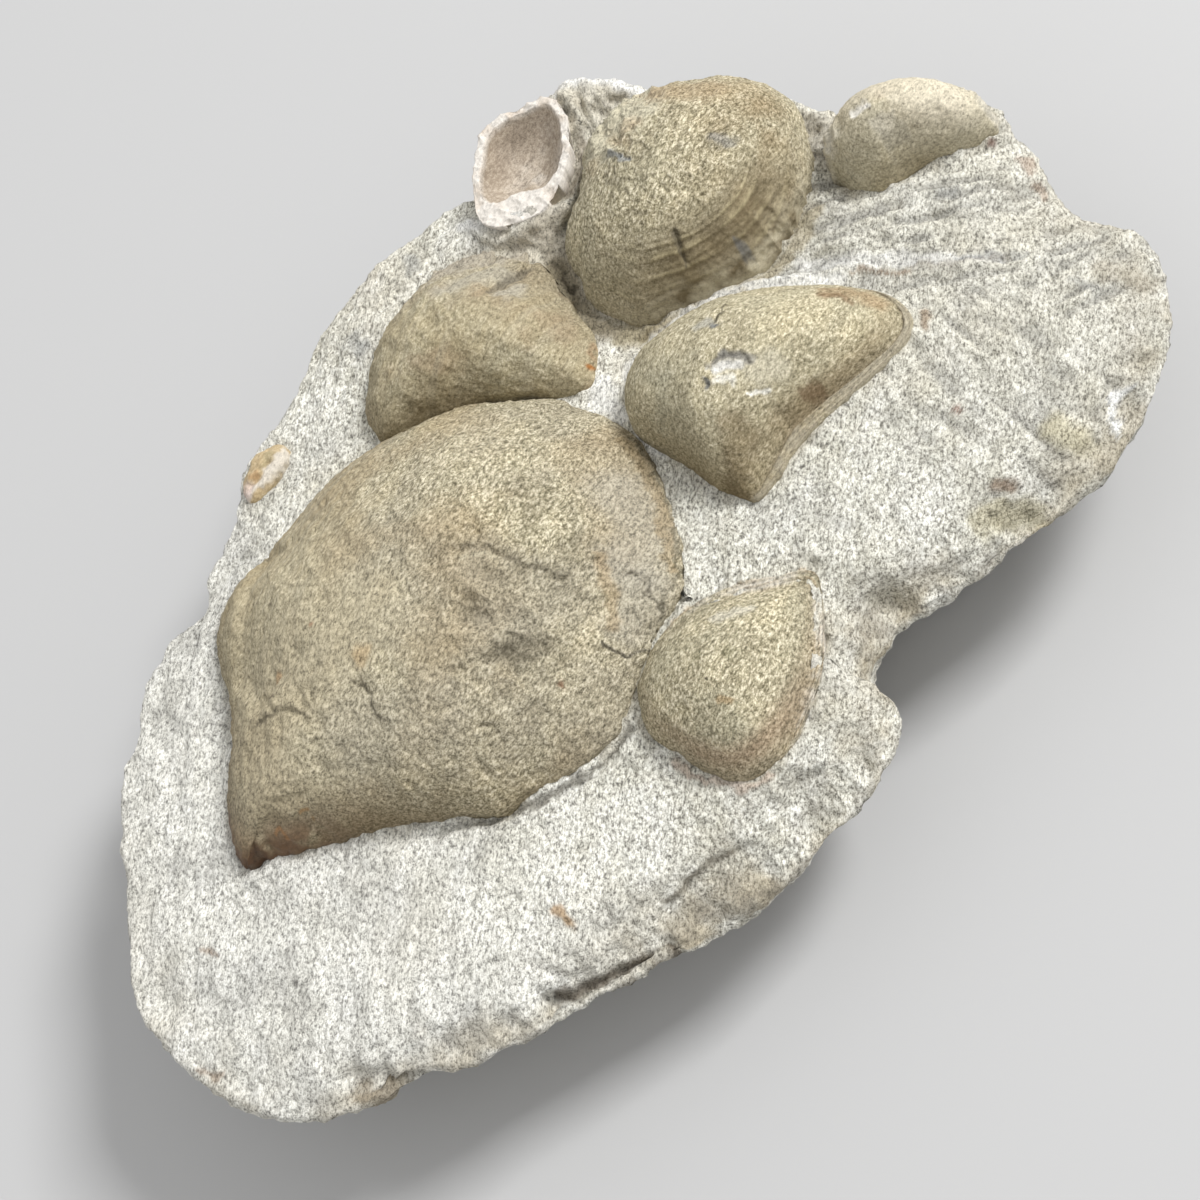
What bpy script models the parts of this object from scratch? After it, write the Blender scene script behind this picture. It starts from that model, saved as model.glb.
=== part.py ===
"""A loose slab of sandy rock with seven fossil shells and a shell fragment set in it, lying flat.

The origin is on the surface that the slab lies on, under the middle of its box. +X runs along the slab's
length and +Z is up. Sizes are in millimetres, and finished() turns them into metres.
"""

import math

import bmesh
import bpy
import numpy as np
from mathutils import Vector

MM = 0.001

# Driving sizes
STONE_TOP = 16.0  # height of the flat part of the slab's top
CLEARANCE = 0.3  # gap all round a shell in its socket
CUTTER_TOP = 46.0  # the cutters for the sockets end above everything
SHARP_ANGLE = 40  # degrees from which an edge is shaded sharp
ROUGHNESS = 0.9

# The slab's edge seen from above
STONE_EDGE = (
    (47.2, 2.5), (46.8, 0.8), (46.7, -2.2), (45.6, -4.8), (45.1, -7.2), (45.6, -10.0), (46.9, -12.7),
    (46.6, -15.6), (44.5, -19.2), (41.6, -22.2), (38.2, -24.3), (33.8, -25.8), (29.3, -26.3), (23.5, -25.9),
    (18.3, -25.4), (14.8, -24.6), (12.0, -24.8), (9.9, -26.0), (10.1, -28.3), (8.6, -30.0), (5.9, -31.3),
    (3.0, -32.1), (-6.0, -32.5), (-14.0, -31.4), (-19.0, -30.3), (-27.0, -28.5), (-30.0, -27.6),
    (-32.7, -25.7), (-35.8, -25.2), (-39.0, -24.1), (-41.5, -22.4), (-43.6, -20.0), (-45.3, -17.0),
    (-46.4, -13.0), (-46.9, -8.5), (-46.4, -5.0), (-45.1, -2.6), (-42.3, 2.8), (-40.9, 5.8), (-37.6, 10.3),
    (-35.2, 12.0), (-33.0, 15.0), (-30.3, 16.5), (-28.2, 17.4), (-24.8, 17.4), (-22.8, 19.8), (-18.8, 22.0),
    (-16.3, 24.3), (-14.5, 25.9), (-9.3, 27.4), (-5.4, 29.4), (-1.7, 31.7), (5.2, 32.8), (11.5, 32.2),
    (15.0, 31.2), (18.7, 32.0), (23.3, 32.0), (27.0, 30.0), (30.0, 26.8), (33.0, 22.5), (36.3, 17.4),
    (38.4, 12.8), (41.0, 10.0), (44.0, 7.0),
)
# Swells of the top: middle, how wide and how high. The first is the crust behind the ribbed shell, the second
# the stone between the ribbed shell and the one on the rim.
STONE_SWELLS = (((26.0, 28.4), 5.0, 2.7), ((37.0, 15.0), 3.0, 1.2))
STONE_CELLS = 30  # cells along a side of the grid that makes the top
STONE_DROP = 1.6  # how far the top falls away at the edge
STONE_DROP_MORE = 1.0  # more than that on the right, as much less on the left
STONE_ROUND = 4.0  # how far in from the edge the fall begins
STONE_LUMP = 0.5  # height of the low swells all over the top
STONE_LUMP_WIDTH = 11.0
STONE_LUMP_SEED = 3
BREAK_LUMP = 1.6  # depth of the broken lumps round the side and below
BREAK_WIDTH = 9.0
BREAK_SEED = 8
BREAK_OUT = 0.4  # a lump stands out by at most this share of the ring's inset
BREAK_START = 0.25  # share of the way down at which the lumps reach their full depth
# Rings down the side: how far below the edge of the top, as a share of the edge's height, and how far in
STONE_SIDE = ((0.06, 0.0), (0.18, 0.7), (0.42, 2.9), (0.66, 5.6), (0.86, 8.2), (1.0, 11.0))
STONE_COLOUR = (0.60, 0.60, 0.56)

# The domed shells. "edge" is the margin seen from above, "crown" the place of the highest point, "foot" the
# height of the solid's flat underside and "rise" the height above it. "full" is how broad the crown is,
# "edge_slope" how upright the margin is (0.5 is upright, 1 slopes), and "slope_more" is added to that towards
# the direction "slope_side", in degrees. "cells" is the number along a side of the grid.
SHELLS = {
    "large_shell": {
        "edge": (
            (-33.7, -4.4), (-33.1, -1.6), (-31.0, 1.9), (-29.0, 4.4), (-26.9, 8.0), (-25.9, 10.9),
            (-24.3, 13.7), (-21.5, 15.4), (-17.2, 15.7), (-13.7, 16.1), (-9.5, 16.9), (-5.1, 16.4),
            (-0.6, 14.6), (2.5, 13.1), (6.2, 9.6), (8.0, 6.5), (9.3, 2.8), (9.6, 0.0), (8.0, -5.6),
            (5.2, -10.9), (1.3, -12.8), (-2.2, -14.6), (-5.2, -16.7), (-8.0, -17.3), (-11.5, -16.6),
            (-16.0, -15.6), (-18.7, -13.4), (-21.4, -11.6), (-26.4, -8.3), (-31.1, -5.8), (-33.0, -5.1),
        ),
        "crown": (-10.0, -1.0),
        "foot": 15.0,
        "rise": 10.5,
        "full": 2.3,
        "edge_slope": 0.62,
        "slope_more": 0.1,
        "slope_side": 110,
        "cells": 20,
        "colour": (0.33, 0.27, 0.17),
    },
    "upper_left_shell": {
        "edge": (
            (-5.1, 16.7), (-5.1, 18.0), (-4.7, 19.3), (-2.9, 21.8), (0.4, 24.3), (3.4, 25.3), (6.4, 25.7),
            (9.9, 24.6), (13.0, 21.5), (13.8, 19.0), (13.5, 15.8), (13.0, 13.5), (12.6, 10.2), (11.4, 8.5),
            (9.6, 7.2), (6.0, 9.5), (2.4, 12.6), (-0.8, 14.2), (-4.2, 15.6),
        ),
        "crown": (5.5, 17.5),
        "foot": 15.0,
        "rise": 6.5,
        "full": 2.2,
        "edge_slope": 0.7,
        "slope_more": 0.12,
        "slope_side": -110,
        "cells": 15,
        "colour": (0.31, 0.25, 0.16),
    },
    "ribbed_shell": {
        "edge": (
            (15.2, 18.1), (14.8, 15.8), (14.1, 14.2), (14.2, 12.2), (14.8, 10.5), (15.7, 8.6), (18.1, 7.5),
            (21.9, 5.9), (25.9, 4.6), (30.3, 6.0), (33.7, 7.5), (35.7, 11.5), (36.7, 15.0), (35.7, 19.0),
            (33.6, 21.6), (31.4, 23.4), (28.2, 24.8), (25.5, 25.2), (23.5, 25.0), (21.7, 24.0),
            (20.2, 22.4), (18.1, 20.5), (16.5, 20.0),
        ),
        "crown": (25.7, 13.0),
        "foot": 13.0,
        "rise": 11.8,
        "full": 2.3,
        "edge_slope": 0.58,
        "slope_more": 0.06,
        "slope_side": -90,
        "cells": 19,
        "colour": (0.30, 0.245, 0.15),
    },
    "right_shell": {
        "edge": (
            (9.6, 0.5), (9.8, 2.0), (10.9, 4.0), (12.8, 5.5), (15.3, 6.1), (18.4, 5.9), (21.4, 5.1),
            (24.9, 2.6), (28.1, -0.9), (29.8, -4.0), (30.2, -5.8), (28.5, -7.5), (26.0, -7.7), (23.0, -7.7),
            (19.5, -7.1), (16.5, -7.8), (13.9, -9.1), (12.8, -9.5), (11.2, -7.6), (10.7, -4.4), (9.9, -1.0),
        ),
        "crown": (17.0, -1.5),
        "foot": 15.0,
        "rise": 7.5,
        "full": 2.2,
        "edge_slope": 0.6,
        "slope_more": 0.08,
        "slope_side": 60,
        "cells": 17,
        "colour": (0.32, 0.26, 0.165),
    },
    "small_shell": {
        "edge": (
            (-4.2, -18.9), (-3.1, -15.6), (-1.6, -14.7), (1.0, -14.0), (3.7, -14.0), (6.5, -15.3),
            (9.3, -17.8), (9.6, -19.2), (8.7, -20.9), (6.7, -23.2), (4.3, -25.1), (2.1, -26.6),
            (0.0, -27.2), (-2.0, -26.4), (-3.4, -24.2), (-4.1, -21.4),
        ),
        "crown": (2.0, -20.5),
        "foot": 15.0,
        "rise": 5.6,
        "full": 2.3,
        "edge_slope": 0.62,
        "slope_more": 0.1,
        "slope_side": 40,
        "cells": 14,
        "colour": (0.30, 0.25, 0.15),
    },
    "rim_shell": {
        "edge": (
            (33.6, 7.3), (33.7, 5.4), (34.5, 3.4), (36.0, 2.6), (39.3, 2.1), (42.0, 0.8), (43.5, 0.7),
            (45.2, 1.6), (45.4, 3.2), (44.8, 5.0), (43.4, 6.8), (41.7, 8.6), (39.7, 10.0), (37.5, 10.8),
            (35.6, 10.7), (34.2, 9.4),
        ),
        "crown": (39.4, 5.2),
        "foot": 13.0,
        "rise": 9.2,
        "full": 2.3,
        "edge_slope": 0.6,
        "slope_more": 0.0,
        "slope_side": 0,
        "cells": 13,
        "colour": (0.31, 0.25, 0.155),
    },
    "edge_fragment": {
        "edge": (
            (-16.5, 22.3), (-15.6, 23.9), (-13.5, 25.1), (-11.7, 24.6), (-11.0, 23.1), (-12.5, 21.8),
            (-14.5, 21.3), (-16.2, 21.4),
        ),
        "crown": (-13.5, 23.0),
        "foot": 13.5,
        "rise": 3.2,
        "full": 3.0,
        "edge_slope": 0.55,
        "slope_more": 0.0,
        "slope_side": 0,
        "cells": 7,
        "colour": (0.42, 0.30, 0.19),
    },
}
INNER_ROUNDING = 60  # degrees over which a shell's inner rings even out the corners of its margin
RING_BLEND = 1.5  # a higher power keeps more of the rings round

# The hollow shell is a broken bowl that shows its inside.
HOLLOW_EDGE = (
    (12.9, 28.0), (14.2, 30.0), (16.5, 31.5), (18.6, 32.1), (20.8, 31.8), (23.7, 31.1), (24.0, 29.4),
    (23.5, 27.2), (22.7, 25.3), (21.5, 23.9), (20.0, 23.1), (18.2, 22.7), (16.1, 23.3), (14.1, 25.1),
)
HOLLOW_MIDDLE = (18.6, 27.7)
HOLLOW_RIM = 17.5  # height of the rim
HOLLOW_DEPTH = 3.4  # from the rim down to the bottom of the inside
HOLLOW_WALL = 1.0  # width of the rim
HOLLOW_FLOOR = 6.0  # from the rim down to the outside's lowest point
HOLLOW_FULL = 2.5  # how broad the bottom is
HOLLOW_SLOPE = 0.6  # how upright the outside's edge is
HOLLOW_CELLS = 13
HOLLOW_WELD = 0.001  # the two sides of the bowl meet along its rim
HOLLOW_COLOUR = (0.45, 0.38, 0.30)


def value_noise(points, size, seed):
    """Smooth noise between -1 and 1 at the points, with swells about as wide as the size."""
    cell = np.asarray(points, float) / size
    corner = np.floor(cell).astype(np.int64)
    part = cell - corner
    blend = part**3 * (part * (part * 6 - 15) + 10)
    total = 0.0
    for step in np.ndindex(2, 2, 2):
        x, y, z = (corner + step).T
        code = (x * 374761393 + y * 668265263 + z * 362437 + seed * 974711) & 0xFFFFFFFF
        code = ((code ^ (code >> 13)) * 1274126177) & 0xFFFFFFFF
        weight = np.prod(np.where(step, blend, 1 - blend), axis=1)
        total = total + weight * ((code ^ (code >> 16)) / 0x80000000 - 1)
    return total


def smooth_loop(points, steps=12):
    """A dense closed curve through the points."""
    here = np.array(points, float)
    before, after, last = (np.roll(here, turn, axis=0)[:, None] for turn in (1, -1, -2))
    here = here[:, None]
    t = np.linspace(0, 1, steps, endpoint=False)[None, :, None]
    bend = 2 * before - 5 * here + 4 * after - last
    twist = 3 * (here - after) + last - before
    return (here + ((after - before) * t + bend * t**2 + twist * t**3) / 2).reshape(-1, 2)


def reach_of(edge, middle):
    """A function that gives how far the edge is from the middle in each direction."""
    loop = smooth_loop(edge) - middle
    angle = np.arctan2(loop[:, 1], loop[:, 0])
    order = np.argsort(angle)
    distance = np.hypot(*loop.T)
    return lambda way: np.interp(way, angle[order], distance[order], period=2 * np.pi)


def dome_reach(edge, middle):
    """How far a dome's ring at each share of the way out is from the crown.

    The rings are nearly round by the crown and take the edge's own shape on the way out.
    """
    reach = reach_of(edge, middle)
    ways = np.radians(np.arange(360))
    spread = np.radians(np.arange(-INNER_ROUNDING, INNER_ROUNDING + 1))
    weight = 1 + np.cos(spread * 180 / INNER_ROUNDING)
    even = (reach(ways[:, None] + spread) * weight).sum(axis=1) / weight.sum()

    def distance(share, way, grow=0.0):
        inner = np.interp(way, ways, even, period=2 * np.pi)
        return share * (inner + (reach(way) + grow - inner) * share**RING_BLEND)

    return distance


def disc_of(points):
    """Distance from the middle, 0 to 1, and direction of a square grid's points laid out over a disc."""
    u, v = np.asarray(points, float)[:, :2].T
    flat = np.abs(u) > np.abs(v)
    far = np.where(flat, u, v)
    near = np.where(flat, v, u)
    eighth = np.pi / 4 * near / np.where(far == 0, 1, far)
    way = np.where(flat, eighth, np.pi / 2 - eighth) + np.where(far < 0, np.pi, 0)
    return np.abs(far), way


def placed(middle, distance, way):
    """Points at a distance from the middle in each direction, seen from above."""
    return np.stack([middle[0] + distance * np.cos(way), middle[1] + distance * np.sin(way)], axis=1)


def grid_over(cells, surface):
    """A grid bent to a surface, and the edges of its open rim.

    The surface gives a point for each share of the way out and direction.
    """
    mesh = bmesh.new()
    bmesh.ops.create_grid(mesh, x_segments=cells, y_segments=cells, size=1)
    share, way = disc_of([vert.co for vert in mesh.verts])
    for vert, place in zip(mesh.verts, surface(share, way)):
        vert.co = place
    rim = [edge for edge in mesh.edges if edge.is_boundary]
    return mesh, rim


def extrude_rim(mesh, rim):
    """Extrudes the open rim and returns its new edges and points."""
    made = bmesh.ops.extrude_edge_only(mesh, edges=rim)["geom"]
    edges = [item for item in made if isinstance(item, bmesh.types.BMEdge) and item.is_boundary]
    verts = [item for item in made if isinstance(item, bmesh.types.BMVert)]
    return edges, verts


def material(name, colour):
    """A plain rough material."""
    made = bpy.data.materials.new(name)
    made.use_nodes = True
    shader = made.node_tree.nodes["Principled BSDF"]
    shader.inputs["Base Color"].default_value = (*colour, 1)
    shader.inputs["Roughness"].default_value = ROUGHNESS
    shader.inputs["Metallic"].default_value = 0
    return made


def finished(name, mesh, place, collection, colour=None):
    """Turns a mesh in millimetres into an object in metres, with its origin at the place."""
    bmesh.ops.recalc_face_normals(mesh, faces=mesh.faces)
    place = Vector(place)
    for vert in mesh.verts:
        vert.co = (vert.co - place) * MM
    data = bpy.data.meshes.new(name)
    mesh.to_mesh(data)
    mesh.free()
    made = bpy.data.objects.new(name, data)
    made.location = place * MM
    collection.objects.link(made)
    if colour:
        data.materials.append(material(name, colour))
        data.shade_smooth()
        data.set_sharp_from_angle(angle=math.radians(SHARP_ANGLE))
    return made


def make_stone(collection):
    """The slab: a top that falls away at its edge, a broken side that runs in below and a flat underside."""
    reach_at = reach_of(STONE_EDGE, (0, 0))

    def top(share, way):
        reach = reach_at(way)
        flat = placed((0, 0), share * reach, way)
        inside = (1 - share) * reach
        drop = STONE_DROP + STONE_DROP_MORE * np.cos(way)
        fall = drop * np.exp(-((inside / STONE_ROUND) ** 2))
        place = np.column_stack([flat, np.zeros(len(flat))])
        lumps = STONE_LUMP * value_noise(place, STONE_LUMP_WIDTH, STONE_LUMP_SEED)
        high = STONE_TOP - fall + lumps * (1 - np.exp(-inside / STONE_ROUND))
        for middle, width, rise in STONE_SWELLS:
            high += rise * np.exp(-(((flat - middle) / width) ** 2).sum(axis=1))
        return np.column_stack([flat, high])

    mesh, rim = grid_over(STONE_CELLS, top)
    for down, inset in STONE_SIDE:
        rim, verts = extrude_rim(mesh, rim)
        way = np.array([math.atan2(vert.co.y, vert.co.x) for vert in verts])
        high = top(1.0, way)[:, 2] * (1 - down)
        distance = reach_at(way) - inset
        if down < 1:
            place = np.column_stack([placed((0, 0), distance, way), high])
            rough = BREAK_LUMP * value_noise(place, BREAK_WIDTH, BREAK_SEED) * min(1, down / BREAK_START)
            distance -= np.maximum(rough, -BREAK_OUT * inset)
        for vert, (x, y), z in zip(verts, placed((0, 0), distance, way), high):
            vert.co = (x, y, z)
    bmesh.ops.holes_fill(mesh, edges=rim)
    return finished("matrix", mesh, (0, 0, 0), collection, STONE_COLOUR)


def dome_solid(name, shell, collection, cutter=False):
    """A shell as a dome on a flat foot. Its cutter is grown all round and run up out of the slab."""
    middle = shell["crown"]
    distance = dome_reach(shell["edge"], middle)
    grow = CLEARANCE if cutter else 0.0

    def surface(share, way):
        flat = placed(middle, distance(share, way, grow), way)
        if cutter:
            return np.column_stack([flat, np.full(len(share), CUTTER_TOP)])
        slope = shell["edge_slope"] + shell["slope_more"] * np.cos(way - math.radians(shell["slope_side"]))
        rise = shell["rise"] * (1 - share ** shell["full"]) ** slope
        return np.column_stack([flat, shell["foot"] + rise])

    mesh, rim = grid_over(shell["cells"], surface)
    if cutter:
        rim, verts = extrude_rim(mesh, rim)
        for vert in verts:
            vert.co.z = shell["foot"] - CLEARANCE
    bmesh.ops.holes_fill(mesh, edges=rim)
    colour = None if cutter else shell["colour"]
    return finished(name, mesh, (*middle, shell["foot"]), collection, colour)


def hollow_solid(name, collection, cutter=False):
    """The broken shell as a bowl with a rim. Its cutter is the outside, grown and run up out of the slab."""
    distance = dome_reach(HOLLOW_EDGE, HOLLOW_MIDDLE)
    grow = CLEARANCE if cutter else 0.0

    def inside(share, way):
        flat = placed(HOLLOW_MIDDLE, distance(share, way, grow), way)
        if cutter:
            return np.column_stack([flat, np.full(len(share), CUTTER_TOP)])
        wall = 1 - HOLLOW_WALL / distance(1, way)
        deep = HOLLOW_DEPTH * np.clip(1 - (share / wall) ** HOLLOW_FULL, 0, 1)
        return np.column_stack([flat, HOLLOW_RIM - deep])

    def outside(share, way):
        flat = placed(HOLLOW_MIDDLE, distance(share, way, grow), way)
        deep = grow + HOLLOW_FLOOR * (1 - share**HOLLOW_FULL) ** HOLLOW_SLOPE
        return np.column_stack([flat, HOLLOW_RIM - deep])

    mesh, _ = grid_over(HOLLOW_CELLS, inside)
    below, _ = grid_over(HOLLOW_CELLS, outside)
    data = bpy.data.meshes.new("below")
    below.to_mesh(data)
    below.free()
    mesh.from_mesh(data)
    bpy.data.meshes.remove(data)
    if cutter:
        rims = [edge for edge in mesh.edges if edge.is_boundary]
        bmesh.ops.bridge_loops(mesh, edges=rims)
    else:
        bmesh.ops.remove_doubles(mesh, verts=mesh.verts, dist=HOLLOW_WELD)
    colour = None if cutter else HOLLOW_COLOUR
    return finished(name, mesh, (*HOLLOW_MIDDLE, HOLLOW_RIM), collection, colour)


def cut(target, cutter, solver="EXACT"):
    """Cuts the cutter out of the target."""
    change = target.modifiers.new(cutter.name, "BOOLEAN")
    change.operation = "DIFFERENCE"
    change.object = cutter
    change.solver = solver


def main():
    for old in list(bpy.data.objects):
        bpy.data.objects.remove(old)
    parts = bpy.data.collections.new("fossil_slab")
    cutters = bpy.data.collections.new("cutters")
    for collection in (parts, cutters):
        bpy.context.scene.collection.children.link(collection)
    stone = make_stone(parts)
    shells = {name: dome_solid(name, shell, parts) for name, shell in SHELLS.items()}
    shells["hollow_shell"] = hollow_solid("hollow_shell", parts)
    sockets = {name: dome_solid(f"{name}_socket", shell, cutters, True) for name, shell in SHELLS.items()}
    sockets["hollow_shell"] = hollow_solid("hollow_shell_socket", cutters, True)
    for socket in sockets.values():
        socket.hide_render = True
        socket.display_type = "WIRE"
        cut(stone, socket)
    # Where two shells meet, the one below is cut back from the one above.
    cut(shells["upper_left_shell"], sockets["large_shell"])
    cut(shells["right_shell"], sockets["large_shell"])
    cut(shells["ribbed_shell"], sockets["rim_shell"])
    # The exact solver loses this shell, which the cutter only grazes.
    cut(shells["small_shell"], sockets["large_shell"], "MANIFOLD")
    slab = bpy.data.objects.new("slab", None)
    parts.objects.link(slab)
    for piece in (stone, *shells.values()):
        piece.parent = slab


main()
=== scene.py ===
"""A loose slab of pale sandstone with fossil clam shells standing out of its top, lying flat.

The frame is the part's own, in metres with +Z up. Sizes below are in millimetres, and MM makes them metres.
"""

import math

import bpy
import numpy as np
from mathutils import Matrix, Vector


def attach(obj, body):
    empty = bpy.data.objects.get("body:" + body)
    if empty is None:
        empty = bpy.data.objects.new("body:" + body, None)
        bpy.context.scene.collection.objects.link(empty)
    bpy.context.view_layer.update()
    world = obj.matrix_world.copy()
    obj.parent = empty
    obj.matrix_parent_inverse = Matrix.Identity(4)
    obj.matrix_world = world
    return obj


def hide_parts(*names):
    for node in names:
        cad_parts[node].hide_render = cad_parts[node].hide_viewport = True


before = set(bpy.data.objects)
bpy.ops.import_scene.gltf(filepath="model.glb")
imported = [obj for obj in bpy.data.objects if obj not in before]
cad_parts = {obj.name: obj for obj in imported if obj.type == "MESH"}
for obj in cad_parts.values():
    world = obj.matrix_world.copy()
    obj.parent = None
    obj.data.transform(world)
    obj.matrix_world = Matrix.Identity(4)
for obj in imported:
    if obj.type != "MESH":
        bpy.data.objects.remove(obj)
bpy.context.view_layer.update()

MM = 0.001

# The largest fossil shell: the cast of a closed clam in the same sandstone, stained olive brown, standing out
# of the slab. Flakes have come off its crown, its beak is glossy calcite, and its lower right margin is
# ragged.


def held(values):
    """The values held between 0 and 1."""
    return np.clip(values, 0, 1)


def fade(distance, width):
    """1 at no distance and less the further off: about a third at the width."""
    return np.exp(-((distance / width) ** 2))


def around(degrees, table):
    """What a table gives by direction in degrees, read off between its rows: one array for each column."""
    toward, *columns = np.array(table).T
    return [np.interp(degrees, toward, column, period=360) for column in columns]


def value_noise(points, size, seed):
    """Smooth noise between -1 and 1 at the points, with swells about as wide as the size."""
    cell = np.asarray(points, float) / size
    corner = np.floor(cell).astype(np.int64)
    part = cell - corner
    blend = part**3 * (part * (part * 6 - 15) + 10)
    total = 0.0
    for step in np.ndindex(2, 2, 2):
        # mixes the corner's whole numbers into one that looks random
        x, y, z = (corner + step).T
        code = (x * 374761393 + y * 668265263 + z * 362437 + seed * 974711) & 0xFFFFFFFF
        code = ((code ^ (code >> 13)) * 1274126177) & 0xFFFFFFFF
        weight = np.prod(np.where(step, blend, 1 - blend), axis=1)
        total = total + weight * ((code ^ (code >> 16)) / 0x80000000 - 1)
    return total


# each finer layer of noise is turned, so that the layers' cells don't line up
TURN = np.array(Matrix.Rotation(0.7, 3, Vector((0.5, 0.3, 1.0))))


def rough(points, size, octaves, seed, sharp=False):
    """Rough ground, about -1 to 1: each octave is half as wide and half as high as the one before.

    Sharp ground has round hollows between sharp ridges, as where flakes have come off.
    """
    total = 0.0
    height = 1.0
    for octave in range(octaves):
        layer = value_noise(points, size, seed + 17 * octave)
        if sharp:
            layer = 1 - 2.6 * np.abs(layer)
        total = total + height * layer
        points = points @ TURN
        size = size / 2
        height = height / 2
    return total


def pitted(points, size, bare, seed):
    """How deep each point is in a pit, 0 to 1. The more bare ground, from -1 to 1, the fewer the pits."""
    return held((value_noise(points, size, seed) - bare) / 0.25)


def cloud(points, size, seed, cover=0.5):
    """How much of a patchy stain covers each point, 0 to 1, with patches about as wide as the size."""
    return held(cover + 0.9 * rough(points, size, 4, seed))


def strands(flat, turn, width, length, seed):
    """Rough ground drawn out along a direction in degrees, into strands of about the width and length."""
    turn = math.radians(turn)
    along = flat @ (math.cos(turn), math.sin(turn)) / length
    across = flat @ (-math.sin(turn), math.cos(turn)) / width
    return rough(np.column_stack([along, across, np.full(len(flat), 0.5)]), 1.0, 3, seed)


def smooth_loop(points, steps=12):
    """A dense closed curve through the points."""
    here = np.array(points, float)
    before, after, last = (np.roll(here, turn, axis=0)[:, None] for turn in (1, -1, -2))
    here = here[:, None]
    t = np.linspace(0, 1, steps, endpoint=False)[None, :, None]
    bend = 2 * before - 5 * here + 4 * after - last
    twist = 3 * (here - after) + last - before
    return (here + ((after - before) * t + bend * t**2 + twist * t**3) / 2).reshape(-1, 2)


def reach_of(edge, middle):
    """A function that gives how far the edge is from the middle in each direction."""
    loop = smooth_loop(edge) - middle
    angle = np.arctan2(loop[:, 1], loop[:, 0])
    order = np.argsort(angle)
    distance = np.hypot(*loop.T)
    return lambda way: np.interp(way, angle[order], distance[order], period=2 * np.pi)


INNER_ROUNDING = 60  # degrees over which a shell's inner rings even out the corners of its margin
RING_BLEND = 1.5  # the higher, the nearer to the margin its corners start


def dome_reach(edge, middle):
    """How far a dome's ring at each share of the way out is from the crown."""
    reach = reach_of(edge, middle)
    ways = np.radians(np.arange(360))
    spread = np.radians(np.arange(-INNER_ROUNDING, INNER_ROUNDING + 1))
    weight = 1 + np.cos(spread * 180 / INNER_ROUNDING)
    even = (reach(ways[:, None] + spread) * weight).sum(axis=1) / weight.sum()

    def distance(share, way):
        inner = np.interp(way, ways, even, period=2 * np.pi)
        return share * (inner + (reach(way) - inner) * share**RING_BLEND)

    return distance


def disc_grid(cells, denser=0.3):
    """Distance from the middle, 0 to 1, and direction of a square grid's points laid out over a disc.

    The grid is denser at the disc's edge than in its middle by the share given.
    """
    steps = np.linspace(-1, 1, cells + 1)
    u, v = (axis.ravel() for axis in np.meshgrid(steps, steps, indexing="ij"))
    flat = np.abs(u) > np.abs(v)
    far = np.where(flat, u, v)
    near = np.where(flat, v, u)
    eighth = np.pi / 4 * near / np.where(far == 0, 1, far)
    way = np.where(flat, eighth, np.pi / 2 - eighth) + np.where(far < 0, np.pi, 0)
    share = np.abs(far)
    return share * (1 + denser - denser * share), way


def placed(middle, distance, way):
    """Points at a distance from the middle in each direction, seen from above."""
    return np.stack([middle[0] + distance * np.cos(way), middle[1] + distance * np.sin(way)], axis=1)


def grid_faces(cells):
    """The squares of a grid, counterclockwise, and its rim as one loop of point numbers."""
    number = np.arange((cells + 1) ** 2).reshape(cells + 1, cells + 1)
    squares = np.stack([number[:-1, :-1], number[1:, :-1], number[1:, 1:], number[:-1, 1:]], axis=-1)
    rim = np.concatenate([number[:-1, 0], number[-1, :-1], number[:0:-1, -1], number[0, :0:-1]])
    return squares.reshape(-1, 4), rim


def beside(flat, line):
    """Distance from a line of points, above 0 on its left, and how far past its ends, seen from above."""
    line = np.atleast_2d(np.array(line, float))
    if len(line) == 1:
        return np.hypot(*(flat - line[0]).T), np.zeros(len(flat))
    best = np.full(len(flat), 1e9)
    side = np.ones(len(flat))
    for a, b in zip(line[:-1], line[1:]):
        along = b - a
        from_a = flat - a
        share = held(from_a @ along / (along @ along))
        gap = np.hypot(*(from_a - share[:, None] * along).T)
        nearer = gap < best
        best = np.where(nearer, gap, best)
        side = np.where(nearer, np.sign(along[0] * from_a[:, 1] - along[1] * from_a[:, 0]), side)
    first = line[1] - line[0]
    last = line[-1] - line[-2]
    before = -((flat - line[0]) @ first) / np.hypot(*first)
    after = ((flat - line[-1]) @ last) / np.hypot(*last)
    return best * np.where(side == 0, 1, side), np.clip(np.maximum(before, after), 0, None)


def wander(flat, size=1.3, amount=0.22, seed=5):
    """The points moved a little to and fro, so that marks get natural edges."""
    place = np.column_stack([flat, np.zeros(len(flat))])
    moves = [rough(place, size, 3, seed + turn) for turn in (0, 40)]
    return flat + amount * np.stack(moves, axis=1)


STEP_END = 0.7  # a step fades out over this length past its line's ends


def worked(flat, marks):
    """Height that marks add: each is a line of points, a width, a height and, for a step, its reach.

    A mark is a ridge or groove along its line, or a bump or pit where the line is one point. A step changes
    the ground on the line's right, and fades out at its reach.
    """
    bent = wander(flat)
    height = np.zeros(len(flat))
    for line, width, rise, *reach in marks:
        line = np.atleast_2d(line)
        room = 3 * width + 2 * sum(reach)
        inside = (bent > np.min(line, axis=0) - room) & (bent < np.max(line, axis=0) + room)
        near = np.nonzero(inside.all(axis=1))[0]
        gap, past = beside(bent[near], line)
        if reach:
            shape = held(0.5 - gap / width) * np.exp(-((gap / reach[0]) ** 2) - (past / STEP_END) ** 2)
        else:
            shape = fade(gap, width)
        height[near] += rise * shape
    return height


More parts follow.
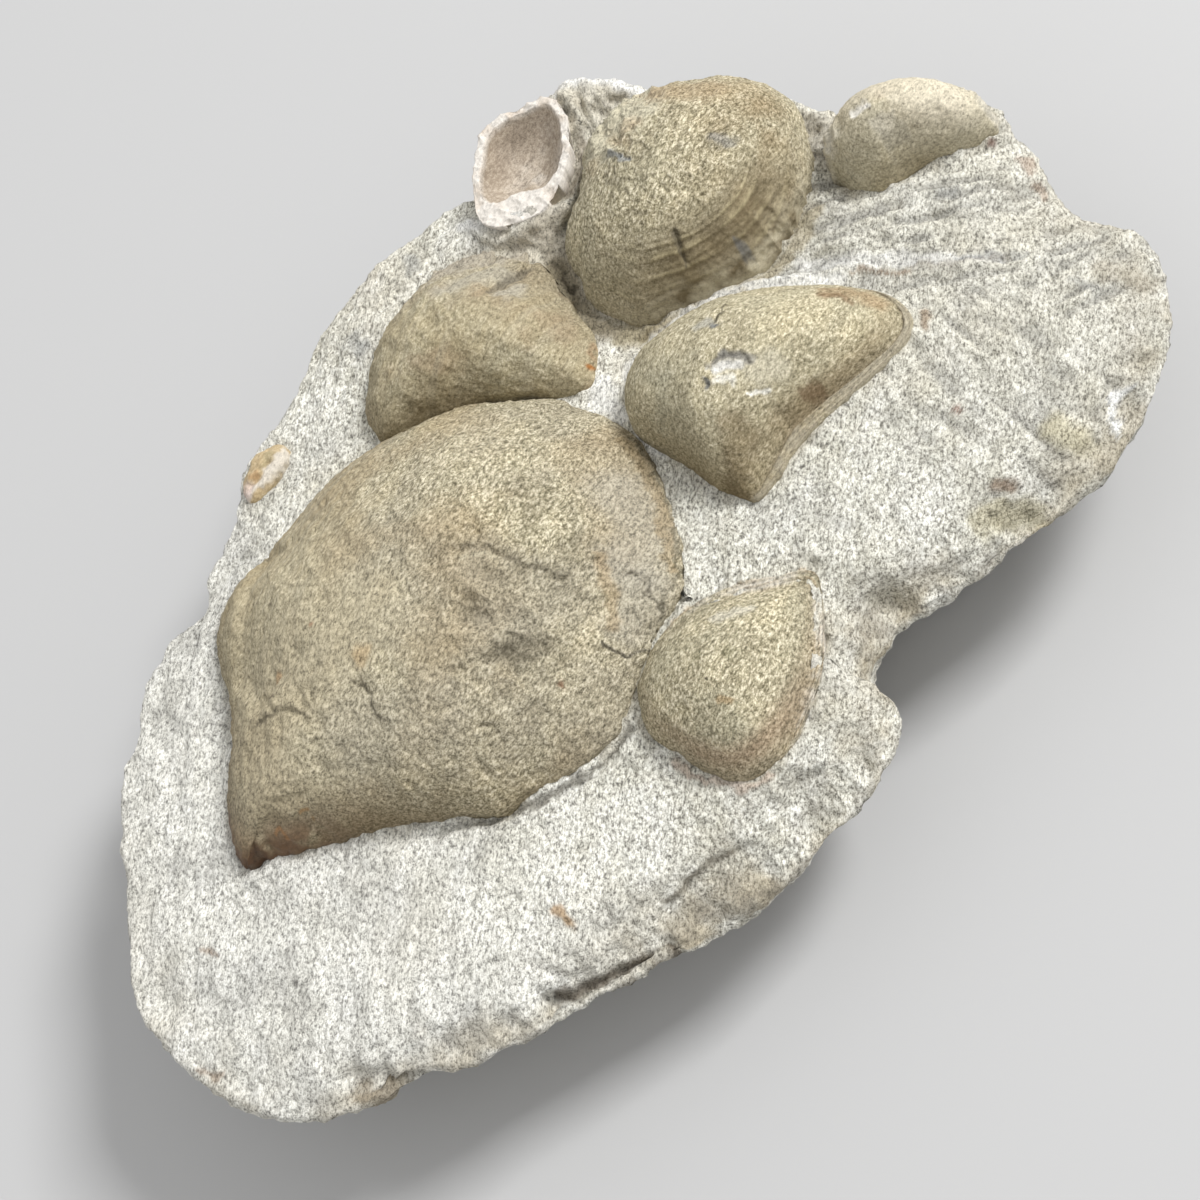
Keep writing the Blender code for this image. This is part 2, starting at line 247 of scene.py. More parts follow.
def linear(colour):
    """An sRGB hex colour as linear red, green and blue."""
    parts = np.array([int(colour[k : k + 2], 16) for k in (1, 3, 5)]) / 255
    return np.where(parts <= 0.04045, parts / 12.92, ((parts + 0.055) / 1.055) ** 2.4)


def lay_on(paint, colour, cover):
    """Lays a colour over the paint, with its cover at each point."""
    total = cover + paint[:, 3] * (1 - cover)
    paint[:, :3] += (linear(colour) - paint[:, :3]) * (cover / np.maximum(total, 1e-6))[:, None]
    paint[:, 3] = total


def painted(points, *layers):
    """Paint for the points, in layers of a colour and its cover."""
    paint = np.zeros((len(points), 4))
    for colour, cover in layers:
        lay_on(paint, colour, cover)
    return paint


def stain(paint, flat, marks):
    """Lays marks on the paint: each is a colour, its cover, a line of points and a width."""
    bent = wander(flat, 0.9, 0.3, 9)
    for colour, cover, line, width in marks:
        gap, _ = beside(bent, line)
        lay_on(paint, colour, cover * np.exp(-((gap / width) ** 4)))


def flank(degrees, middle, spread):
    """1 towards a direction and 0 away from it, in degrees."""
    off = (degrees - middle + 180) % 360 - 180
    return fade(off, spread)


def add(tree, kind, inputs, **settings):
    """Adds a node to a material, with its settings, values and links, and returns it."""
    node = tree.nodes.new(kind)
    for name, value in settings.items():
        setattr(node, name, value)
    for socket, value in inputs.items():
        if isinstance(value, bpy.types.NodeSocket):
            tree.links.new(value, node.inputs[socket])
        else:
            node.inputs[socket].default_value = value
    return node


def blend_stops(node, stops):
    """Sets a colour ramp's places and hex colours, and returns its colour socket."""
    while len(node.color_ramp.elements) < len(stops):
        node.color_ramp.elements.new(0.5)
    for element, (place, colour) in zip(node.color_ramp.elements, stops):
        element.position = place
        element.color = (*linear(colour), 1)
    return node.outputs["Color"]


PATCH_WIDTH = 3.5  # width in mm of the lighter and darker patches
MARK_GRAINS = ((0.37, "#969696"), (0.48, "#DEDEDE"), (0.6, "#FFFFFF"))
GLAZE_ROUGHNESS = 0.3  # of the glossy calcite


def sandstone(name, grains, mottle, grain=0.24, bump=0.1, roughness=0.92, turn=25):
    """Sandstone: packed grains of quartz and darker minerals, dull all over.

    To the eye it is a salt and pepper speckle, because each grain has its own shade and a little shadow.
    The grains are drawn at the stated width in mm, coarser than most of the real ones, so that they show.
    Worn ground, where the mesh says so, shows them less. They lie a little along a direction in degrees.
    """
    made = bpy.data.materials.new(name)
    made.use_nodes = True
    tree = made.node_tree
    shader = tree.nodes["Principled BSDF"]
    shader.inputs["Specular IOR Level"].default_value = 0.3
    place = add(tree, "ShaderNodeTexCoord", {}).outputs["Object"]
    where = add(
        tree, "ShaderNodeMapping",
        {"Vector": place, "Rotation": (0.3, 0.2, math.radians(turn)), "Scale": (1.7, 1.0, 1.0)},
        vector_type="TEXTURE",
    ).outputs["Vector"]
    speck = add(
        tree, "ShaderNodeTexNoise",
        {"Vector": where, "Scale": 1 / (grain * MM), "Detail": 3.5, "Roughness": 0.9},
    ).outputs["Fac"]
    patch = add(
        tree, "ShaderNodeTexNoise",
        {
            "Vector": where, "Scale": 1 / (PATCH_WIDTH * MM),
            "Detail": 5.0, "Roughness": 0.62, "Distortion": 0.6,
        },
    ).outputs["Fac"]
    worn = add(tree, "ShaderNodeAttribute", {}, attribute_name="worn").outputs["Fac"]
    even = add(tree, "ShaderNodeMix", {"Factor": worn, 2: speck, 3: 0.5}).outputs[0]
    speckled = blend_stops(add(tree, "ShaderNodeValToRGB", {"Fac": even}), grains)
    mottled = blend_stops(add(tree, "ShaderNodeValToRGB", {"Fac": patch}), mottle)
    clean = add(
        tree, "ShaderNodeMix", {"Factor": 1.0, 6: speckled, 7: mottled},
        data_type="RGBA", blend_type="MULTIPLY",
    ).outputs[2]
    marks = add(tree, "ShaderNodeAttribute", {}, attribute_name="marks")
    specked = blend_stops(add(tree, "ShaderNodeValToRGB", {"Fac": even}), MARK_GRAINS)
    marked = add(
        tree, "ShaderNodeMix", {"Factor": 1.0, 6: marks.outputs["Color"], 7: specked},
        data_type="RGBA", blend_type="MULTIPLY",
    ).outputs[2]
    colour = add(
        tree, "ShaderNodeMix", {"Factor": marks.outputs["Alpha"], 6: clean, 7: marked}, data_type="RGBA"
    ).outputs[2]
    tree.links.new(colour, shader.inputs["Base Color"])
    glaze = add(tree, "ShaderNodeAttribute", {}, attribute_name="glaze").outputs["Fac"]
    dull = add(tree, "ShaderNodeMix", {"Factor": glaze, 2: roughness, 3: GLAZE_ROUGHNESS}).outputs[0]
    tree.links.new(dull, shader.inputs["Roughness"])
    lifted = add(tree, "ShaderNodeBump", {"Strength": 1.0, "Distance": bump * MM, "Height": even})
    tree.links.new(lifted.outputs["Normal"], shader.inputs["Normal"])
    return made


def make_piece(name, points, faces, relief, material, paint, **covers):
    """Makes a smooth-shaded mesh from points in millimetres, with the relief added out from its surface.

    The paint and the other covers, which may be one number for all, go to the material as attributes.
    """
    mesh = bpy.data.meshes.new(name)
    mesh.from_pydata(points.tolist(), [], [face.tolist() for face in faces])
    mesh.update()
    normals = np.empty(len(points) * 3)
    mesh.vertex_normals.foreach_get("vector", normals)
    points = points + normals.reshape(-1, 3) * relief[:, None]
    points[:, 2] = np.maximum(points[:, 2], 0)
    mesh.vertices.foreach_set("co", (points * MM).ravel())
    mesh.shade_smooth()
    mesh.update()
    mesh.materials.append(material)
    layer = mesh.attributes.new("marks", "FLOAT_COLOR", "POINT")
    layer.data.foreach_set("color", paint.astype(np.float32).ravel())
    for cover, values in covers.items():
        layer = mesh.attributes.new(cover, "FLOAT", "POINT")
        layer.data.foreach_set("value", np.full(len(points), values, np.float32))
    made = bpy.data.objects.new(name, mesh)
    bpy.context.scene.collection.objects.link(made)
    return made


def dome(shell):
    """Points and faces of a closed dome, and each point's way in from the margin and direction in degrees.

    The dome ends at its lip, a thin wall that goes down to its foot in the stone. Where it has a ledge, a
    flat border of that width goes round it.
    """
    cells = shell["cells"]
    distance = dome_reach(shell["edge"], shell["crown"])
    share, way = disc_grid(cells)
    flat = placed(shell["crown"], distance(share, way), way)
    degrees = np.degrees(way) % 360
    full, slope = around(degrees, shell["sides"])
    (ledge,) = around(degrees, shell.get("ledge", ((0, 0),)))
    up = np.minimum(share / (1 - ledge / distance(1.0, way)), 1)
    rise = shell["lip"] + (shell["rise"] - shell["lip"]) * (1 - up**full) ** slope
    squares, rim = grid_faces(cells)
    foot = len(flat) + np.arange(len(rim))
    wall = np.stack([np.roll(rim, -1), rim, foot, np.roll(foot, -1)], axis=1)
    points = np.column_stack([flat, shell["foot"] + rise])
    points = np.concatenate([points, np.column_stack([flat[rim], np.full(len(rim), shell["foot"])])])
    margin = np.append((1 - share) * distance(1.0, way), np.zeros(len(rim)))
    return points, [*squares, *wall, foot[::-1]], margin, np.append(degrees, degrees[rim])


LARGE = {
    "edge": (
        (-33.7, -4.4), (-33.1, -1.6), (-31.0, 1.9), (-29.0, 4.4), (-26.9, 8.0), (-25.9, 10.9),
        (-24.3, 13.7), (-21.5, 15.4), (-17.2, 15.7), (-13.7, 16.1), (-9.5, 16.9), (-5.1, 16.4),
        (-0.6, 14.6), (2.5, 13.1), (6.2, 9.6), (8.0, 6.5), (9.3, 2.8), (9.6, 0.0), (8.0, -5.6),
        (5.2, -10.9), (1.3, -12.8), (-2.2, -14.6), (-5.2, -16.7), (-8.0, -17.3), (-11.5, -16.6),
        (-16.0, -15.6), (-18.7, -13.4), (-21.4, -11.6), (-26.4, -8.3), (-31.1, -5.8), (-33.0, -5.1),
    ),
    "crown": (-10.0, -1.0),
    "foot": 15.0,
    "rise": 10.25,
    "lip": 1.15,
    "sides": (
        # direction in degrees, how full the crown is, how steep the side is
        (0, 2.0, 0.95), (45, 2.2, 0.8), (90, 2.2, 0.72), (135, 2.1, 0.72), (180, 2.2, 0.7),
        (225, 2.6, 0.55), (260, 2.3, 0.75), (290, 1.9, 1.05), (325, 1.8, 1.15),
    ),
    "cells": 300,
}
SCAR_EDGE = ((-5.8, -1.8), (-5.1, -2.1), (-4.0, -3.0), (-3.6, -3.8), (-3.4, -4.6))
MIDDLE_CRACK = ((-17.8, -3.6), (-17.5, -4.7), (-17.5, -5.6), (-18.1, -6.5), (-18.0, -7.5))
LEFT_CRACK = ((-25.5, 1.1), (-24.3, 0.2), (-23.2, -0.5), (-22.3, -2.5))
MARGIN_CRACK = ((-2.7, -12.1), (-2.4, -13.1), (-1.8, -13.6), (0.0, -13.9), (1.4, -13.6))
RIGHT_CRACK = ((2.1, -9.1), (2.9, -10.0), (2.1, -11.1), (2.3, -11.3), (2.2, -12.1))
LARGE_RELIEF = (
    # line of points or one point, width, height and, for a step, reach
    # the scar of a flake, with a hook at its corner
    (((-7.4, -0.9), *SCAR_EDGE, (-2.2, -6.1), (-1.4, -7.3), (0.0, -7.0), (1.4, -7.2)), 0.2, -0.34, 3.4),
    ((*SCAR_EDGE, (-2.2, -6.1), (-1.4, -7.3)), 0.12, -0.05),
    (((-4.6, -0.5), (-4.1, -0.3), (-3.6, -0.5), (-3.4, -1.0), (-3.8, -1.5)), 0.2, -0.3),
    ((-4.2, -0.9), 0.45, 0.15),
    (((-11.7, -8.7), (-10.9, -8.9), (-10.1, -9.1), (-9.3, -9.4), (-7.6, -9.7)), 0.3, -0.35),
    (((-9.1, -9.2), (-5.9, -10.3)), 0.9, -0.25),
    # cracks
    (MIDDLE_CRACK, 0.13, -0.16),
    (((-16.8, -2.8), (-17.5, -5.6), (-18.0, -7.5)), 0.3, -0.12, 2.0),
    (((-20.4, -1.1), (-20.7, -1.6), (-21.2, -2.4)), 0.16, -0.2),
    (LEFT_CRACK, 0.13, -0.14),
    (LEFT_CRACK, 0.3, -0.15, 2.5),
    (((-24.4, 2.9), (-23.9, 0.4)), 0.16, -0.15),
    (MARGIN_CRACK, 0.12, -0.2),
    (RIGHT_CRACK, 0.14, -0.22),
    ((-15.0, -14.0), 0.45, -0.4),
    (((-13.6, -12.1), (-13.0, -12.5), (-12.3, -12.9)), 0.18, -0.2),
    # the soft edge of the lobe on the left
    (((-25.5, 2.5), (-25.3, 4.8), (-25.5, 6.7), (-24.0, 8.6), (-22.9, 9.8), (-20.8, 12.5), (-18.3, 14.8)),
     0.9, -0.65, 5.0),
    # chips along the beak
    (((-31.8, -4.6), (-29.4, -5.0)), 0.5, -0.35),
    (((-28.6, -5.2), (-26.6, -6.2)), 0.4, 0.2),
    (((-33.4, -4.2), (-31.6, -3.6), (-29.0, -4.1), (-26.4, -5.4)), 0.25, -0.25, 2.0),
)
LARGE_STAINS = (
    # colour, cover, line of points or one point, width
    ("#B9B3A4", 0.6, ((3.0, -8.6), (5.2, -7.0), (6.0, -3.4)), 2.3),
    ("#B5AFA0", 0.5, ((-0.5, -12.0), (2.5, -10.6)), 1.6),
    ("#A29B8A", 0.45, ((-5.0, -4.0), (-2.5, -8.0), (-6.5, -7.5)), 2.4),
    ("#A7A194", 0.35, ((-20.0, -6.5), (-15.0, -9.5)), 3.2),
    # painted shade along the shallow groove
    ("#6A6353", 0.5, ((-9.1, -9.4), (-7.6, -9.9), (-5.9, -10.5)), 0.7),
    ("#B8925A", 0.4, (-16.1, -3.0), 0.9),
    ("#A98A58", 0.35, ((1.4, -7.4), (0.6, -9.6), (-1.2, -11.5)), 0.5),
    ("#9A5A33", 0.5, (-6.8, -13.3), 0.35),
    ("#9A6A33", 0.5, (-22.5, 2.3), 0.35),
    ("#8A5A3A", 0.7, (-17.6, 2.3), 0.22),
    ("#55483C", 0.7, (-19.3, 7.8), 0.3),
    ("#4A3A30", 0.8, (-23.4, 1.3), 0.25),
    # painted shadow along the flake scar's edge
    ("#5A5345", 0.45, SCAR_EDGE, 0.08),
    # painted highlight on the lit side of the scar's edge
    ("#CFC6AC", 0.5, ((-6.0, -2.3), (-5.3, -2.6), (-4.4, -3.4), (-4.0, -4.2), (-3.8, -5.0)), 0.25),
    # painted shadow along the rest of the scar's edge
    ("#5A5345", 0.35, ((-3.4, -4.6), (-2.2, -6.1), (-1.4, -7.3), (0.0, -7.0)), 0.08),
    ("#5A5345", 0.6, MIDDLE_CRACK, 0.1),
    ("#5A5345", 0.5, LEFT_CRACK, 0.1),
    ("#4A453C", 0.8, MARGIN_CRACK, 0.11),
    ("#5A5345", 0.7, RIGHT_CRACK, 0.1),
    ("#55503F", 0.5, ((9.4, 1.0), (9.2, -2.0), (7.9, -5.4), (5.1, -10.6), (1.6, -12.4)), 0.16),
    ("#9C8660", 0.5, ((8.9, 1.0), (8.6, -2.0), (7.3, -5.6), (4.6, -10.4)), 0.4),
)
BEAK_GLAZE = (
    ("#62452E", 0.75, ((-33.7, -4.4), (-33.3, -2.4), (-32.4, -0.6)), 0.4),
    ("#A8794A", 0.6, ((-30.0, -5.6), (-29.3, -5.9)), 0.12),
    ("#B58C58", 0.7, ((-27.6, -6.3), (-27.0, -6.6)), 0.13),
    ("#4E3623", 0.8, ((-34.0, -4.5), (-33.2, -4.9), (-31.6, -5.6)), 0.32),
)

SHELL_GRAINS = ((0.365, "#625C4A"), (0.455, "#98927B"), (0.535, "#C3BCA5"), (0.63, "#FCF6E4"))
SHELL_MOTTLE = ((0.32, "#D9D5CC"), (0.5, "#F1EEE6"), (0.66, "#FFFAEF"))
# sandstone stained by the shell that it filled: olive brown and dull, with its grains showing through
stained_sandstone = sandstone("stained_sandstone", SHELL_GRAINS, SHELL_MOTTLE)

points, faces, margin, degrees = dome(LARGE)
flat = points[:, :2]
inner = held((margin - 1.5) / 5)
scarred = np.exp(-((np.hypot(*(flat - (-4.0, -8.0)).T) / 6.5) ** 4)) * inner
striped = flank(degrees, 112, 42) * held(margin) * fade(margin, 11)
stripes = strands(flat, 14, 0.5, 6.0, 71)
broken = rough(points, 2.0, 4, 11, True)
relief = (
    (0.09 + 0.22 * scarred) * broken * inner
    + 0.22 * rough(points, 6, 2, 41)
    + 0.09 * rough(points, 0.9, 3, 21) * (1 - 0.7 * striped)
    + 0.07 * rough(points, 0.5, 1, 23)
    + 0.09 * striped * stripes
    + 0.16 * flank(degrees, 300, 45) * fade(margin, 2.0) * rough(points, 1.6, 3, 51, True)
    - 0.08 * pitted(points, 0.7, 0.5, 61)
    + 0.14 * flank(degrees, 193, 13) * fade(margin, 1.4) * rough(points, 1.3, 3, 53, True)
    + worked(flat, LARGE_RELIEF)
    - 0.1
)
beak = flank(degrees, 192, 13) * fade(margin, 1.5) * cloud(points, 1.2, 95, 1.0)
paint = painted(
    points,
    ("#A39B8B", 0.45 * cloud(points, 9, 81, 0.4)),
    ("#A8916A", 0.4 * cloud(points, 6, 91, 0.2)),
    # painted shade and dirt: darker in the hollows between the flaked ridges
    ("#6F6855", 0.6 * (0.25 + 0.75 * scarred) * held(-0.9 * broken - 0.2)),
    ("#A38F68", 0.5 * striped * held(0.3 + stripes)),
    ("#CFC5A8", 0.6 * striped * held(-0.2 - stripes)),
    # painted light: the left flank paler
    ("#CFC4A6", 0.6 * flank(degrees, 170, 65) * held(margin / 3)),
    # painted shade: darker and browner towards the lower margin, the side turned from the light
    ("#7C6C50", 0.65 * np.exp(-margin / 1.5) * flank(degrees, 205, 60)),
    # painted shade: darker towards the beak end
    ("#968668", 0.25 * held((-22.5 - flat[:, 0] + 0.35 * flat[:, 1]) / 5)),
    ("#6C4D32", 0.92 * beak),
)
stain(paint, flat, LARGE_STAINS)
glazed = painted(points)
stain(glazed, flat, BEAK_GLAZE)
stain(paint, flat, BEAK_GLAZE)
large_shell = make_piece(
    "large_shell_cast", points, faces, relief, stained_sandstone, paint,
    worn=0.45 * striped + 0.6 * beak, glaze=np.maximum(glazed[:, 3], beak),
)
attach(large_shell, "root")
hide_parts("large_shell")

# The shell above the large one's upper left: the same kind of cast, lower, with its crown chipped to pale
# stone and painted shade darkening its lower left side.
UPPER_LEFT = {
    "edge": (
        (-5.1, 16.7), (-5.1, 18.0), (-4.7, 19.3), (-2.9, 21.8), (0.4, 24.3), (3.4, 25.3), (6.4, 25.7),
        (9.9, 24.6), (13.0, 21.5), (13.8, 19.0), (13.5, 15.8), (13.0, 13.5), (12.6, 10.2), (11.4, 8.5),
        (9.6, 7.2), (6.0, 9.5), (2.4, 12.6), (-0.8, 14.2), (-4.2, 15.6),
    ),
    "crown": (5.5, 17.5),
    "foot": 15.0,
    "rise": 6.5,
    "lip": 1.1,
    "sides": (
        (40, 1.9, 1.3), (90, 2.0, 1.1), (140, 2.2, 0.7), (190, 2.3, 0.62), (240, 2.2, 0.75),
        (290, 2.2, 0.8), (330, 2.0, 1.0),
    ),
    "cells": 200,
}
CROWN_GROOVE = ((9.2, 17.7), (10.3, 17.9), (11.5, 18.4), (12.6, 19.2))
UPPER_LEFT_RELIEF = (
    (CROWN_GROOVE, 0.45, -0.4),
    (((6.6, 20.4), (7.9, 21.3), (9.7, 20.8)), 0.5, -0.3),
    (((6.4, 20.6), (6.3, 18.5), (7.2, 17.4), (9.6, 16.2)), 0.35, 0.35, 2.0),
    (((8.6, 11.8), (9.4, 11.2), (10.1, 10.8), (10.7, 10.4)), 0.2, -0.2),
    (((1.1, 12.4), (2.0, 11.8)), 0.4, -0.3),
)
UPPER_LEFT_STAINS = (
    ("#B4AE9E", 0.7, ((6.6, 20.0), (8.5, 20.6), (10.6, 18.9)), 1.1),
    ("#BDB8AA", 0.6, ((9.6, 16.6), (10.6, 16.6)), 0.8),
    ("#6D675B", 0.6, CROWN_GROOVE, 0.35),
    ("#B07030", 0.9, (10.7, 8.3), 0.28),
    ("#A8825F", 0.4, ((11.6, 8.9), (12.2, 10.0)), 0.3),
)
points, faces, margin, degrees = dome(UPPER_LEFT)
flat = points[:, :2]
crusted = flank(degrees, 55, 48) * held(1.2 - margin / 4.5)
stripes = strands(flat, 20, 0.6, 7.0, 131)
relief = (
    (0.08 + 0.22 * crusted) * rough(points, 2.0, 4, 111, True)
    + 0.16 * rough(points, 4.5, 2, 141)
    + 0.05 * rough(points, 0.8, 3, 121)
    + 0.05 * stripes
    + worked(flat, UPPER_LEFT_RELIEF)
    - 0.1
)
paint = painted(
    points,
    ("#B3A27D", 0.5 * cloud(points, 5, 151, 0.5)),
    ("#A8A08E", 0.6 * cloud(points, 4, 153, 0.1) * flank(degrees, 100, 90)),
    ("#A98E74", 0.5 * cloud(points, 3, 157, -0.15)),
    ("#978A72", 0.7 * flank(degrees, 20, 55) * cloud(points, 4, 159, 0.7)),
    ("#C0B79E", 0.4 * held(-stripes)),
    # painted shade: darker and browner towards the lower left margin, the side turned from the light
    ("#7B6D50", 0.75 * np.exp(-margin / 2.8) * flank(degrees, 205, 70)),
    ("#B5AD9D", 0.85 * held(2.2 * crusted - 0.9 + 0.5 * rough(points, 1.4, 3, 161))),
)
stain(paint, flat, UPPER_LEFT_STAINS)
upper_left_shell = make_piece(
    "upper_left_shell_cast", points, faces, relief, stained_sandstone, paint, worn=0.35 * (1 - crusted)
)
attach(upper_left_shell, "root")
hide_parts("upper_left_shell")

# The ribbed shell at the slab's upper edge: the tallest round cast, finely pitted over its crown. Its growth
# ribs stand out near its lower margin, where the valve is worn less.
RIBBED = {
    "edge": (
        (15.2, 18.1), (14.8, 15.8), (14.1, 14.2), (14.2, 12.2), (14.8, 10.5), (15.7, 8.6), (18.1, 7.5),
        (21.9, 5.9), (25.9, 5.0), (29.9, 6.0), (33.2, 8.2), (35.5, 11.5), (36.7, 15.0), (35.7, 19.0),
        (33.6, 21.6), (31.4, 23.4), (28.2, 24.8), (25.5, 25.2), (23.5, 25.0), (21.7, 24.0),
        (20.2, 22.4), (18.1, 20.5), (16.5, 20.0),
    ),
    "crown": (25.7, 13.0),
    "foot": 13.0,
    "rise": 10.8,
    "lip": 2.4,
    "sides": (
        (0, 2.3, 0.6), (45, 2.2, 0.7), (90, 2.2, 0.7), (150, 2.2, 0.7), (200, 2.1, 0.75),
        (250, 2.0, 0.8), (300, 2.1, 0.7),
    ),
    "cells": 240,
}
RIB_WIDTH = 0.014  # as a share of the way in
RIBS = (
    # share of the way in from the margin, height
    (0.05, 0.05), (0.095, 0.09), (0.125, 0.05), (0.17, 0.09), (0.21, 0.05), (0.27, 0.13), (0.295, 0.06),
    (0.335, 0.15), (0.37, 0.07), (0.44, 0.05), (0.52, 0.03),
)
RIBBED_RELIEF = (
    (((22.0, 8.9), (21.7, 8.5), (21.4, 8.2), (21.1, 7.9)), 0.2, -0.3),
    (((22.6, 17.8), (23.1, 16.8)), 0.3, -0.2),
    (((23.0, 16.8), (23.3, 15.4)), 0.25, -0.2),
    (((28.4, 10.5), (29.3, 10.3), (30.2, 10.3)), 0.25, -0.2),
)
RIBBED_STAINS = (
    ("#CDC6AE", 0.7, ((22.6, 21.4), (25.2, 20.6), (27.6, 19.0)), 1.6),
    ("#B59C78", 0.45, ((29.3, 19.6), (31.6, 16.4)), 1.6),
    ("#8D9296", 0.7, ((22.4, 17.9), (23.1, 16.8)), 0.3),
    ("#8D9296", 0.7, ((23.0, 16.8), (23.3, 15.4)), 0.25),
    ("#7D8084", 0.5, ((28.9, 11.4), (29.7, 10.9)), 0.6),
    ("#5C5546", 0.7, ((22.0, 8.9), (21.1, 7.9)), 0.22),
    ("#6E7072", 0.7, ((24.9, 5.9), (25.3, 5.6)), 0.35),
)
points, faces, margin, degrees = dome(RIBBED)
flat = points[:, :2]
ribbed = held(1.5 * flank(degrees, 258, 70) - 0.2)
reach = reach_of(RIBBED["edge"], RIBBED["crown"])(np.radians(degrees))
grown = margin / reach + 0.012 * rough(points, 3, 3, 231)
ribs = sum(height * fade(grown - far, RIB_WIDTH) for far, height in RIBS)
pits = pitted(points, 0.38, 0.2, 261) * held((margin - 3) / 3)
crusted = held(1.7 - np.hypot(*(flat - (25.6, 21.0)).T) / 3.6)
relief = (
    (0.05 + 0.3 * crusted) * rough(points, 2.0, 4, 211, True)
    + 0.12 * rough(points, 5, 2, 241)
    + 0.05 * rough(points, 0.8, 3, 221)
    + ribbed * ribs
    - 0.09 * pits
    + 0.16 * flank(degrees, 300, 35) * fade(margin, 1.8) * rough(points, 1.4, 3, 251, True)
    + worked(flat, RIBBED_RELIEF)
    - 0.15
)
banded = ribbed * np.exp(-((grown / 0.44) ** 4))
paint = painted(
    points,
    ("#A9A288", 0.5 * cloud(points, 5, 271, 0.4) * flank(degrees, 180, 90)),
    # brown stain on the right flank, deepened by painted shade
    ("#927B55", 0.75 * flank(degrees, 335, 60) * held(margin / 2) * cloud(points, 5, 281, 0.6)),
    # the ribbed band's own brown, darkened as painted shade between the ribs
    ("#66563A", 0.8 * banded),
    # painted highlight: paler on the rib crests, in step with their height
    ("#CBBE98", np.clip(6.0 * ribs - 0.1, 0, 0.85) * banded * cloud(points, 2.0, 283, 0.45)),
    # painted shade and dirt: darker in the pits
    ("#6F6752", 0.3 * pits),
    # pale crust along the lower margin, painted paler still as painted light against the shade on its steep
    # wall
    ("#D3CAB0", 0.9 * flank(degrees, 262, 75) * fade(margin, 0.8) * cloud(points, 1.5, 291, 0.7)),
    ("#CFC8B0", 0.85 * held(2.0 * crusted - 0.7 + 0.6 * rough(points, 1.6, 3, 296))),
    ("#B99A76", 0.5 * crusted * cloud(points, 1.5, 297, 0.1)),
)
stain(paint, flat, RIBBED_STAINS)
ribbed_shell = make_piece(
    "ribbed_shell_cast", points, faces, relief, stained_sandstone, paint, worn=0.6 * banded
)
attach(ribbed_shell, "root")
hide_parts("ribbed_shell")

# The shell to the right of the large one: a smooth triangular cast with a sharp lower margin. A chip by its
# crown shows the white inside of the valve.
RIGHT = {
    "edge": (
        (9.6, 0.5), (9.8, 2.0), (10.9, 4.0), (12.8, 5.5), (15.3, 6.1), (18.4, 5.9), (21.4, 5.1),
        (24.9, 2.6), (28.1, -0.9), (29.8, -3.8), (30.4, -6.0), (30.0, -7.9), (28.4, -8.8), (25.6, -9.0),
        (22.0, -9.0), (18.2, -9.1), (15.0, -10.0), (12.6, -10.2), (11.2, -7.9), (10.7, -4.4), (9.9, -1.0),
    ),
    "crown": (17.0, -1.5),
    "foot": 15.0,
    "rise": 7.5,
    "lip": 1.2,
    "sides": (
        (0, 2.0, 0.8), (40, 2.0, 0.95), (90, 2.1, 0.85), (150, 2.3, 0.62), (200, 2.4, 0.58),
        (250, 2.2, 0.7), (290, 2.1, 0.62), (330, 2.0, 0.7),
    ),
    "ledge": (
        (0, 0), (240, 0), (252, 0.7), (280, 1.2), (305, 1.2), (322, 0.95), (338, 0.45), (352, 0.1), (359, 0),
    ),
    "cells": 200,
}
CHIP_EDGE = ((16.9, -2.9), (17.4, -2.9), (18.0, -3.3), (18.6, -3.9), (19.0, -4.5))
WHITE_SCRATCH = ((17.3, -5.9), (17.6, -6.3), (18.5, -6.5))
DARK_CRACK = ((21.1, 1.2), (20.4, 0.6), (19.9, 0.7), (19.4, 0.1))
RIGHT_RELIEF = (
    ((*CHIP_EDGE, (18.8, -4.8)), 0.2, -0.3),
    (((16.6, -3.6), (17.4, -3.9), (18.2, -4.6)), 0.45, -0.25),
    ((15.5, -3.7), 0.35, -0.3),
    ((16.9, -4.2), 0.5, -0.2),
    (((18.6, -5.6), (19.6, -5.6)), 0.8, -0.12),
    (WHITE_SCRATCH, 0.15, -0.12),
    (DARK_CRACK, 0.16, -0.25),
)
RIGHT_STAINS = (
    ("#8D8B87", 0.8, CHIP_EDGE, 0.35),
    ("#F4F2EC", 0.9, ((16.7, -3.5), (17.4, -3.8), (18.1, -4.4)), 0.4),
    ("#5E6266", 0.8, ((15.5, -3.6), (15.3, -4.0)), 0.35),
    ("#EDEAE0", 0.7, ((16.2, -4.2), (16.9, -4.7)), 0.4),
    ("#D9D2BC", 0.5, ((18.6, -5.4), (20.2, -5.4)), 1.0),
    ("#F2EFE4", 0.9, WHITE_SCRATCH, 0.13),
    ("#6B7076", 0.8, ((18.9, -0.2), (19.2, -0.4)), 0.3),
    ("#A8A7A0", 0.6, ((18.0, 0.6), (19.0, 0.4)), 0.5),
    ("#57503F", 0.8, DARK_CRACK, 0.13),
    ("#A3835C", 0.5, ((27.0, -2.6), (28.6, -4.2), (29.0, -5.6)), 0.9),
    ("#7C5C3C", 0.55, ((26.3, -2.6), (27.3, -3.8), (27.5, -5.0)), 0.3),
    ("#6B4F34", 0.6, ((20.3, -7.5), (21.6, -7.7)), 0.35),
    # painted shade: the lower left tip darker brown
    ("#6B5A3C", 0.6, ((12.4, -9.1), (13.6, -8.3), (15.0, -7.2)), 1.2),
)
points, faces, margin, degrees = dome(RIGHT)
flat = points[:, :2]
(ledge,) = around(degrees, RIGHT["ledge"])
bevel = held(4 * ledge) * held((ledge + 0.05 - margin) / 0.15)
